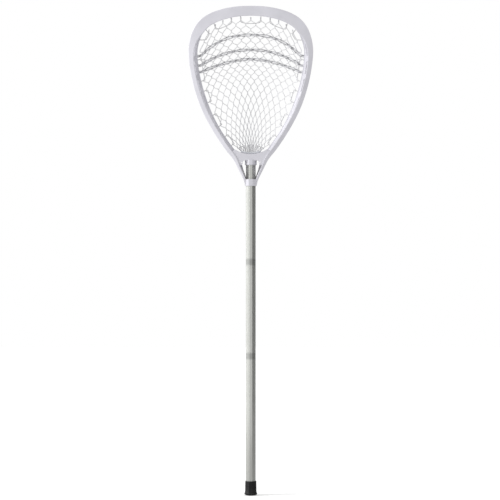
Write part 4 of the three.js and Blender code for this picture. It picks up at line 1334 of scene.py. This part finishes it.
def ramp(tree, value, low, high, fromValue=0.0, toValue=1.0):
    # smooth steps from one value to another between low and high
    values = dict(enumerate((value, low, high, fromValue, toValue)))
    return node(tree, "ShaderNodeMapRange", values, interpolation_type="SMOOTHSTEP")[0]


def mixed(tree, share, a, b):
    return node(tree, "ShaderNodeMix", {0: share, 6: a, 7: b}, data_type="RGBA")[2]


def axesOf(tree, place):
    return node(tree, "ShaderNodeSeparateXYZ", {0: place})


def stretched(tree, place, scale, turn=(0, 0, 0)):
    return node(tree, "ShaderNodeMapping", {"Vector": place, "Scale": scale, "Rotation": turn})[0]


def placed(tree, group, **values):
    return node(tree, "ShaderNodeGroup", values, node_tree=group)


def giveRelief(tree, surface, height, look):
    values = {"Height": height, "Distance": look["relief"], "Strength": look["reliefShare"]}
    give(tree, surface["Normal"], node(tree, "ShaderNodeBump", values)[0])


def away(tree, value, middle):
    # how far a value is from a middle one
    return maths(tree, "ABSOLUTE", maths(tree, "SUBTRACT", value, middle))


def colour(red, green, blue):
    # a colour as a screen shows it, 0 to 255, as linear light
    made = []
    for c in (red, green, blue):
        share = c / 255
        made.append(share / 12.92 if share <= 0.04045 else ((share + 0.055) / 1.055) ** 2.4)
    return (*made, 1.0)


def newGroup(name, inputs, outputs):
    tree = bpy.data.node_groups.new(name, "ShaderNodeTree")
    for label, value in inputs.items():
        kind = "NodeSocketVector" if value is None else "NodeSocketFloat"
        socket = tree.interface.new_socket(label, in_out="INPUT", socket_type=kind)
        if value is not None:
            socket.default_value = value
    for label in outputs:
        tree.interface.new_socket(label, in_out="OUTPUT", socket_type="NodeSocketFloat")
    return tree, tree.nodes.new("NodeGroupInput").outputs, tree.nodes.new("NodeGroupOutput").inputs


def covered(tree, value, cover, shape):
    # the places where a noise is high: a larger cover lowers what counts as high
    least = maths(tree, "SUBTRACT", shape["none"], maths(tree, "MULTIPLY", cover, shape["coverShare"]))
    return ramp(tree, value, least, maths(tree, "ADD", least, shape["soft"]))


grainShape = {
    "pitScale": 0.27,
    "pitShare": 0.4,
}


def makeGrain():
    # fine grain of a moulded or blasted skin with broader pits, and slow drifts of tone over it
    inputs = {"Place": None, "Fine": 1400.0, "Broad": 22.0}
    tree, given, out = newGroup("mouldGrain", inputs, ["Height", "Tone"])
    fine = noise(tree, given["Place"], given["Fine"], 3, 0.6)
    pits = noise(tree, given["Place"], maths(tree, "MULTIPLY", given["Fine"], grainShape["pitScale"]))
    pitted = maths(tree, "MULTIPLY", pits, grainShape["pitShare"])
    give(tree, out["Height"], maths(tree, "MULTIPLY_ADD", fine, 1 - grainShape["pitShare"], pitted))
    give(tree, out["Tone"], noise(tree, given["Place"], given["Broad"], 4, 0.55))
    return tree


wearShape = {
    "streakScale": 9,
    "streakShare": 0.35,
    "none": 0.78,
    "coverShare": 0.4,
    "soft": 0.14,
}


def makeWear():
    # rubbed and scuffed patches between two heights of the stick
    inputs = {"Place": None, "Low": 0.0, "High": 1.0, "Blend": 0.1, "Cover": 0.5, "Scale": 60.0}
    tree, given, out = newGroup("handlingWear", inputs, ["Mask"])
    z = axesOf(tree, given["Place"])[2]
    above = ramp(tree, z, maths(tree, "SUBTRACT", given["Low"], given["Blend"]), given["Low"])
    below = ramp(tree, z, given["High"], maths(tree, "ADD", given["High"], given["Blend"]), 1.0, 0.0)
    patches = noise(tree, given["Place"], given["Scale"], 5, 0.65)
    streaks = noise(tree, given["Place"], maths(tree, "MULTIPLY", given["Scale"], wearShape["streakScale"]))
    share = wearShape["streakShare"]
    rubs = maths(tree, "MULTIPLY_ADD", streaks, share, maths(tree, "MULTIPLY", patches, 1 - share))
    worn = covered(tree, rubs, given["Cover"], wearShape)
    give(tree, out["Mask"], maths(tree, "MULTIPLY", worn, maths(tree, "MULTIPLY", above, below)))
    return tree


underHeight = 0.4  # how high a yarn is where it passes under another, of its height on top


def makeBraid():
    # two families of yarns that wind round a cord against each other and pass over and under by
    # turns; Around is how many yarns each family has, Pitch the length of one turn in millimetres,
    # Tracer the share of the first family that is dark
    inputs = {"Way": None, "Around": 6.0, "Pitch": 12.0, "Tracer": 0.0}
    tree, given, out = newGroup("braidedYarns", inputs, ["Height", "Tracer"])
    aroundCord, alongCord = axesOf(tree, given["Way"])[:2]
    turns = maths(tree, "DIVIDE", alongCord, given["Pitch"])
    wound = [maths(tree, sign, aroundCord, turns) for sign in ("ADD", "SUBTRACT")]
    yarns = [maths(tree, "MULTIPLY", way, given["Around"]) for way in wound]
    parity = maths(tree, "ADD", *[maths(tree, "FLOOR", strand) for strand in yarns])
    over = maths(tree, "ABSOLUTE", maths(tree, "MODULO", parity, 2.0))
    heights = []
    for strand, onTop in zip(yarns, (over, maths(tree, "SUBTRACT", 1.0, over))):
        rise = maths(tree, "SINE", maths(tree, "MULTIPLY", maths(tree, "FRACT", strand), math.pi))
        top = maths(tree, "MULTIPLY_ADD", onTop, 1 - underHeight, underHeight)
        heights.append(maths(tree, "MULTIPLY", rise, top))
    give(tree, out["Height"], maths(tree, "MAXIMUM", *heights))
    nearFirst = maths(tree, "GREATER_THAN", *heights)
    dark = maths(tree, "LESS_THAN", maths(tree, "FRACT", wound[0]), given["Tracer"])
    give(tree, out["Tracer"], maths(tree, "MULTIPLY", dark, nearFirst))
    return tree


scratchShape = {
    "ways": [((0.7, 0.4, 0.9), (1.0, 1.0, 0.13)), ((-0.5, 0.3, -0.6), (0.16, 1.0, 1.0))],
    "patchScale": 0.35,
    "none": 0.72,
    "coverShare": 0.4,
    "soft": 0.08,
}


def makeScratches():
    # hairline marks: where a noise that is stretched along one way crosses its middle value, and
    # only in patches
    inputs = {"Place": None, "Scale": 130.0, "Thin": 0.006, "Cover": 0.5}
    tree, given, out = newGroup("hairlineScratches", inputs, ["Mask"])
    marks = []
    for turn, scale in scratchShape["ways"]:
        strands = noise(tree, stretched(tree, given["Place"], scale, turn), given["Scale"])
        marks.append(ramp(tree, away(tree, strands, 0.5), 0.0, given["Thin"], 1.0, 0.0))
    broad = maths(tree, "MULTIPLY", given["Scale"], scratchShape["patchScale"])
    shown = covered(tree, noise(tree, given["Place"], broad, 3, 0.6), given["Cover"], scratchShape)
    give(tree, out["Mask"], maths(tree, "MULTIPLY", maths(tree, "MAXIMUM", *marks), shown))
    return tree


grain, wear, braid, scratches = makeGrain(), makeWear(), makeBraid(), makeScratches()
toneRange = (0.3, 0.7)


def newMaterial(name, metallic=0.0, roughness=0.5, **fixed):
    material = bpy.data.materials.new(name)
    material.use_nodes = True
    tree = material.node_tree
    surface = next(made for made in tree.nodes if made.type == "BSDF_PRINCIPLED").inputs
    for label, value in {"Metallic": metallic, "Roughness": roughness, **fixed}.items():
        surface[label].default_value = value
    return material, tree, surface, node(tree, "ShaderNodeTexCoord", {})


headLook = {
    "light": colour(216, 215, 222),
    "shade": colour(207, 206, 213),
    "scuff": colour(180, 180, 185),
    "roughness": 0.4,
    "coat": 0.15,
    "coatRoughness": 0.25,
    "roughSwing": 0.12,
    "wornRoughness": 0.2,
    "skin": {"Fine": 1500.0, "Broad": 16.0},
    "wear": {"Low": 1.19, "High": 1.4, "Blend": 0.06, "Cover": 0.4, "Scale": 75.0},
    "scratches": {"Cover": 0.45, "Scale": 110.0, "Thin": 0.008},
    "hairShare": 0.4,
    "scuffShare": 0.4,
    "hairDepth": -0.25,
    "partingDepth": -0.0045,
    "partingCore": 0.0001,
    "partingEdge": 0.00035,
    "partingHeight": 0.5,
    "relief": 0.0003,
    "reliefShare": 0.6,
}


def headPlastic():
    # scuffs near the scoop, hairlines, and the fine line where the halves of the mould met
    look = headLook
    coat = {"Coat Weight": look["coat"], "Coat Roughness": look["coatRoughness"]}
    material, tree, surface, places = newMaterial("headPlastic", **coat)
    place = places["Object"]
    skin = placed(tree, grain, Place=place, **look["skin"])
    scuffs = placed(tree, wear, Place=place, **look["wear"])["Mask"]
    hairs = placed(tree, scratches, Place=place, **look["scratches"])["Mask"]
    clean = mixed(tree, ramp(tree, skin["Tone"], *toneRange), look["shade"], look["light"])
    marks = maths(tree, "MAXIMUM", maths(tree, "MULTIPLY", hairs, look["hairShare"]), scuffs)
    share = maths(tree, "MULTIPLY", marks, look["scuffShare"])
    give(tree, surface["Base Color"], mixed(tree, share, clean, look["scuff"]))
    swing = look["roughSwing"]
    rough = maths(tree, "MULTIPLY_ADD", skin["Tone"], swing, look["roughness"] - swing / 2)
    give(tree, surface["Roughness"], maths(tree, "MULTIPLY_ADD", marks, look["wornRoughness"], rough))
    fromParting = away(tree, axesOf(tree, place)[1], look["partingDepth"])
    parting = ramp(tree, fromParting, look["partingCore"], look["partingEdge"], 1.0, 0.0)
    skinHeight = maths(tree, "MULTIPLY_ADD", hairs, look["hairDepth"], skin["Height"])
    height = maths(tree, "MULTIPLY_ADD", parting, look["partingHeight"], skinHeight)
    giveRelief(tree, surface, height, look)
    return material


shaftLook = {
    "light": colour(193, 194, 190),
    "shade": colour(178, 179, 175),
    "rubbed": colour(202, 202, 200),
    "band": colour(152, 153, 150),
    "bandHeights": [0.365, 0.611],
    "bandHalf": 0.0085,
    "bandEdge": 0.004,
    "scratch": colour(218, 218, 216),
    # painted shade: the colour the tube darkens to near its foot
    "paintedFootShade": colour(108, 108, 106),
    "paintedFootShadeShare": 0.34,
    "paintedFootShadeFrom": 0.06,
    "paintedFootShadeTo": 0.24,
    "rubbedShare": 0.4,
    "scratchShare": 0.5,
    "metallic": 0.75,
    "roughness": 0.36,
    "drawnRoughness": 0.08,
    "bandRoughness": 0.12,
    "rubbedRoughness": -0.08,
    "drawnScale": 1800.0,
    "drawnStretch": (1.0, 1.0, 0.012),
    "drawnHeight": 0.6,
    "skin": {"Fine": 2600.0, "Broad": 9.0},
    "wear": {"Low": 0.1, "High": 0.76, "Blend": 0.08, "Cover": 0.35, "Scale": 42.0},
    "scratches": {"Cover": 0.5, "Scale": 90.0, "Thin": 0.005},
    "relief": 0.00004,
    "reliefShare": 0.5,
}


def shaftAlloy():
    # drawn lines along the tube, two soft bands, and painted shade that darkens its lower end
    look = shaftLook
    material, tree, surface, places = newMaterial("shaftAlloy", metallic=look["metallic"])
    place = places["Object"]
    skin = placed(tree, grain, Place=place, **look["skin"])
    handled = placed(tree, wear, Place=place, **look["wear"])["Mask"]
    hairs = placed(tree, scratches, Place=place, **look["scratches"])["Mask"]
    lines = noise(tree, stretched(tree, place, look["drawnStretch"]), look["drawnScale"], 3, 0.6)
    z = axesOf(tree, place)[2]
    half, edge = look["bandHalf"], look["bandEdge"]
    bands = 0.0
    for middle in look["bandHeights"]:
        inside = ramp(tree, away(tree, z, middle), half - edge, half + edge, 1.0, 0.0)
        bands = maths(tree, "ADD", bands, inside)
    drawn = ramp(tree, lines, *toneRange)
    metal = mixed(tree, drawn, look["shade"], look["light"])
    metal = mixed(tree, maths(tree, "MULTIPLY", handled, look["rubbedShare"]), metal, look["rubbed"])
    metal = mixed(tree, maths(tree, "MULTIPLY", hairs, look["scratchShare"]), metal, look["scratch"])
    # painted shade: the tube's colour darkens towards its foot
    footShadeAmount = ramp(tree, z, look["paintedFootShadeFrom"], look["paintedFootShadeTo"], look["paintedFootShadeShare"], 0.0)
    metal = mixed(tree, footShadeAmount, metal, look["paintedFootShade"])
    give(tree, surface["Base Color"], mixed(tree, bands, metal, look["band"]))
    rough = maths(tree, "MULTIPLY_ADD", drawn, look["drawnRoughness"], look["roughness"])
    rough = maths(tree, "MULTIPLY_ADD", bands, look["bandRoughness"], rough)
    give(tree, surface["Roughness"], maths(tree, "MULTIPLY_ADD", handled, look["rubbedRoughness"], rough))
    grained = maths(tree, "MULTIPLY", skin["Height"], 1 - look["drawnHeight"])
    height = maths(tree, "MULTIPLY_ADD", lines, look["drawnHeight"], grained)
    giveRelief(tree, surface, height, look)
    return material


capLook = {
    "light": colour(22, 22, 23),
    "shade": colour(12, 12, 13),
    "dust": colour(56, 55, 53),
    "roughness": 0.5,
    "roughSwing": 0.2,
    "specular": 0.22,
    "skin": {"Fine": 1100.0, "Broad": 60.0},
    "wear": {"Low": -0.01, "High": 0.012, "Blend": 0.01, "Cover": 0.7, "Scale": 160.0},
    "dustShare": 0.5,
    "relief": 0.0002,
    "reliefShare": 0.6,
}


def capRubber():
    # dust gathers on the foot of the cap
    look = capLook
    material, tree, surface, places = newMaterial("capRubber", **{"Specular IOR Level": look["specular"]})
    skin = placed(tree, grain, Place=places["Object"], **look["skin"])
    dusty = placed(tree, wear, Place=places["Object"], **look["wear"])["Mask"]
    base = mixed(tree, ramp(tree, skin["Tone"], *toneRange), look["shade"], look["light"])
    share = maths(tree, "MULTIPLY", dusty, look["dustShare"])
    give(tree, surface["Base Color"], mixed(tree, share, base, look["dust"]))
    rough = maths(tree, "MULTIPLY_ADD", skin["Tone"], look["roughSwing"], look["roughness"])
    give(tree, surface["Roughness"], rough)
    giveRelief(tree, surface, skin["Height"], look)
    return material


screwLook = {
    "light": colour(190, 191, 194),
    "shade": colour(160, 160, 163),
    "roughness": 0.25,
    "roughSwing": 0.15,
    "skin": {"Fine": 3000.0, "Broad": 300.0},
    "relief": 0.00003,
    "reliefShare": 0.4,
}


def screwSteel():
    look = screwLook
    material, tree, surface, places = newMaterial("screwSteel", metallic=1.0)
    skin = placed(tree, grain, Place=places["Object"], **look["skin"])
    give(tree, surface["Base Color"], mixed(tree, skin["Tone"], look["shade"], look["light"]))
    rough = maths(tree, "MULTIPLY_ADD", skin["Tone"], look["roughSwing"], look["roughness"])
    give(tree, surface["Roughness"], rough)
    giveRelief(tree, surface, skin["Height"], look)
    return material


padLook = {
    "light": colour(206, 208, 213),
    "shade": colour(172, 174, 181),
    "roughness": 0.9,
    "cells": 900.0,
    "cellReach": 0.6,
    "dimpleShadeShare": 0.6,
    "skin": {"Fine": 2400.0, "Broad": 90.0},
    "skinHeight": 0.25,
    "relief": 0.0003,
    "reliefShare": 0.7,
}


def padFoam():
    # closed cells: dimples at the middle of each cell of a Voronoi pattern, coloured darker inside as painted
    # shade
    look = padLook
    material, tree, surface, places = newMaterial("padFoam", roughness=look["roughness"])
    cells = node(tree, "ShaderNodeTexVoronoi", {"Vector": places["Object"], "Scale": look["cells"]})
    depth = ramp(tree, cells["Distance"], 0.0, look["cellReach"])
    skin = placed(tree, grain, Place=places["Object"], **look["skin"])
    # painted shade: the colour darkens into the hollow of each dimple
    grained = maths(tree, "MULTIPLY", skin["Tone"], 1 - look["dimpleShadeShare"])
    tone = maths(tree, "MULTIPLY_ADD", depth, look["dimpleShadeShare"], grained)
    give(tree, surface["Base Color"], mixed(tree, tone, look["shade"], look["light"]))
    height = maths(tree, "MULTIPLY_ADD", skin["Height"], look["skinHeight"], depth)
    giveRelief(tree, surface, height, look)
    return material


cordLook = {  # what the three cords share
    "roughness": 0.82,
    "sheen": 0.25,
    "sheenRoughness": 0.4,
    "tracer": colour(120, 120, 124),
    # heights of the braid between which its grooves take the painted shade colour
    "creaseShadeRange": (0.25, 0.9),
    "soilRange": (0.52, 0.8),
    "skinHeight": 0.2,
    "reliefShare": 0.9,
}
netLook = {
    "yarn": colour(249, 249, 250),
    # painted shade in the grooves between the yarns
    "creaseShade": colour(228, 228, 231),
    "braid": {"Around": 3.0, "Pitch": 5.0, "Tracer": 0.0},
    "skin": {"Fine": 3200.0, "Broad": 30.0},
    "soilShare": 0.2,
    "soil": colour(222, 221, 217),
    "relief": 0.00035,
}
stringLook = {
    "yarn": colour(240, 240, 240),
    # painted shade in the grooves between the yarns
    "creaseShade": colour(196, 196, 198),
    "braid": {"Around": 4.0, "Pitch": 6.0, "Tracer": 0.0},
    "skin": {"Fine": 3200.0, "Broad": 40.0},
    "soilShare": 0.3,
    "soil": colour(206, 204, 198),
    "relief": 0.0003,
}
laceLook = {
    "yarn": colour(248, 248, 250),
    # painted shade in the grooves between the yarns
    "creaseShade": colour(216, 216, 220),
    "tracer": colour(84, 84, 90),
    "braid": {"Around": 8.0, "Pitch": 19.0, "Tracer": 0.38},
    "skin": {"Fine": 3200.0, "Broad": 40.0},
    "soilShare": 0.25,
    "soil": colour(208, 207, 202),
    "relief": 0.0004,
}


def yarn(name, look):
    # the cord of the net, the thin string and the lace differ only in their yarns and colours
    look = {**cordLook, **look}
    sheen = {"Sheen Weight": look["sheen"], "Sheen Roughness": look["sheenRoughness"]}
    material, tree, surface, places = newMaterial(name, roughness=look["roughness"], **sheen)
    woven = placed(tree, braid, Way=places["UV"], **look["braid"])
    skin = placed(tree, grain, Place=places["Object"], **look["skin"])
    # painted shade: the grooves between the yarns are coloured darker than the yarns' tops
    white = mixed(tree, ramp(tree, woven["Height"], *look["creaseShadeRange"]), look["creaseShade"], look["yarn"])
    soiled = maths(tree, "MULTIPLY", ramp(tree, skin["Tone"], *look["soilRange"]), look["soilShare"])
    worn = mixed(tree, soiled, white, look["soil"])
    give(tree, surface["Base Color"], mixed(tree, woven["Tracer"], worn, look["tracer"]))
    height = maths(tree, "MULTIPLY_ADD", skin["Height"], look["skinHeight"], woven["Height"])
    giveRelief(tree, surface, height, look)
    return material


def dressed(piece, material, slotName, *nodes):
    # a finished piece takes its finish, rides on the stick's one body and stands for its CAD nodes
    piece.data.materials.clear()
    piece.data.materials.append(material)
    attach(piece, "root")
    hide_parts(*nodes)
    print("stage:", piece.name, "with", len(piece.data.polygons), "faces")
    return piece


dressed(makeHead(), headPlastic(), "head_plastic", "head_frame")
dressed(makeShaft(), shaftAlloy(), "shaft_alloy", "shaft")
dressed(makeCap(), capRubber(), "cap_rubber", "butt_cap")
dressed(makeScrew(), screwSteel(), "screw_steel", "throat_screw")
dressed(makePad(), padFoam(), "pad_foam", "ball_stop_pad")
dressed(makeNet(), yarn("netCord", netLook), "net_nylon", "pocket_net")
stringCord = yarn("stringCord", stringLook)
dressed(makeString("topString", topPairs()), stringCord, "string_nylon", "top_string")
dressed(makeString("sideStringLeft", sidePairs(False)), stringCord, "string_nylon", "sidewall_string_left")
dressed(makeString("sideStringRight", sidePairs(True)), stringCord, "string_nylon", "sidewall_string_right")
dressed(makeString("bottomString", bottomPairs(), False), stringCord, "string_nylon", "bottom_string")
lace = yarn("shootingLace", laceLook)
for number, row in enumerate(shooter["rows"], 1):
    dressed(makeShooter(f"shootingCord{number}", row), lace, "cord_braid", f"shooting_cord_{number}")


# Studio, in metres: a pale floor, white all round, a soft light from the left, a dark screen and
# the camera.
studio = {
    "distance": 6.0,
    "aimAcross": -0.0021,
    "aimHeight": 0.6424,
    "seenHeight": 1.310,
    "sensorWidth": 36,
    "ambient": 0.69,
    "keyPower": 2.6,
    "keyFrom": (-2.4, -0.6, 1.1),
    "keySpread": 28,
    "floorReach": 6,
    "floorFront": -3,
    "floorRear": 9,
    "floorTone": 0.9,
    "floorLift": 0.22,
    "flagTone": 0.1,
    "flagPlace": 0.9,
    "flagReach": 1.1,
    "flagBottom": -0.2,
    "flagTop": 1.7,
}


def makeWorld():
    world = bpy.data.worlds.new("studio")
    bpy.context.scene.world = world
    world.use_nodes = True
    tree = world.node_tree
    back = next(made for made in tree.nodes if made.type == "BACKGROUND")
    rays = node(tree, "ShaderNodeLightPath", {})
    seen = maths(tree, "MAXIMUM", rays["Is Camera Ray"], rays["Is Glossy Ray"])
    seen = maths(tree, "MAXIMUM", seen, rays["Is Transmission Ray"])
    back.inputs["Color"].default_value = (1, 1, 1, 1)
    ambient = studio["ambient"]
    give(tree, back.inputs["Strength"], maths(tree, "MULTIPLY_ADD", seen, 1 - ambient, ambient))


def makeBoard(name, corners, finish, tone):
    # a flat board of the studio with a dull finish
    mesh = bpy.data.meshes.new(name)
    mesh.from_pydata(corners, [], [(0, 1, 2, 3)])
    material, tree, surface = newMaterial(finish, roughness=1.0)[:3]
    surface["Base Color"].default_value = (tone, tone, tone, 1)
    mesh.materials.append(material)
    return linked(name, mesh), tree, surface


def makeFloor():
    reach, front, rear = studio["floorReach"], studio["floorFront"], studio["floorRear"]
    corners = [(-reach, front, 0), (reach, front, 0), (reach, rear, 0), (-reach, rear, 0)]
    floor, tree, surface = makeBoard("floor", corners, "paleFloor", studio["floorTone"])
    surface["Specular IOR Level"].default_value = 0
    surface["Emission Color"].default_value = (1, 1, 1, 1)
    seen = node(tree, "ShaderNodeLightPath", {})["Is Camera Ray"]
    give(tree, surface["Emission Strength"], maths(tree, "MULTIPLY", seen, studio["floorLift"]))


def makeLight():
    # shines from its place towards the stick's foot
    data = bpy.data.lights.new("softKey", "SUN")
    data.energy, data.angle = studio["keyPower"], math.radians(studio["keySpread"])
    light = linked("softKey", data)
    light.location = studio["keyFrom"]
    x, y, z = (-v for v in studio["keyFrom"])
    light.rotation_euler = (math.atan2(math.hypot(x, y), -z), 0, math.atan2(-x, y))


def makeFlag():
    # a dark screen on the right that shows in reflections alone, so that the tube's right face
    # is dark
    x, reach = studio["flagPlace"], studio["flagReach"]
    bottom, top = studio["flagBottom"], studio["flagTop"]
    corners = [(x, -reach, bottom), (x, reach, bottom), (x, reach, top), (x, -reach, top)]
    flag = makeBoard("darkFlag", corners, "darkScreen", studio["flagTone"])[0]
    flag.visible_camera = flag.visible_diffuse = flag.visible_shadow = False


def makeCamera():
    data = bpy.data.cameras.new("photoView")
    data.sensor_width = studio["sensorWidth"]
    data.lens = studio["sensorWidth"] * studio["distance"] / studio["seenHeight"]
    camera = linked("photoView", data)
    camera.location = (studio["aimAcross"], -studio["distance"], studio["aimHeight"])
    camera.rotation_euler = (math.pi / 2, 0, 0)
    bpy.context.scene.camera = camera


makeWorld()
makeFloor()
makeLight()
makeFlag()
makeCamera()
bpy.context.scene.view_settings.view_transform = "Standard"
print("stage: studio ready")
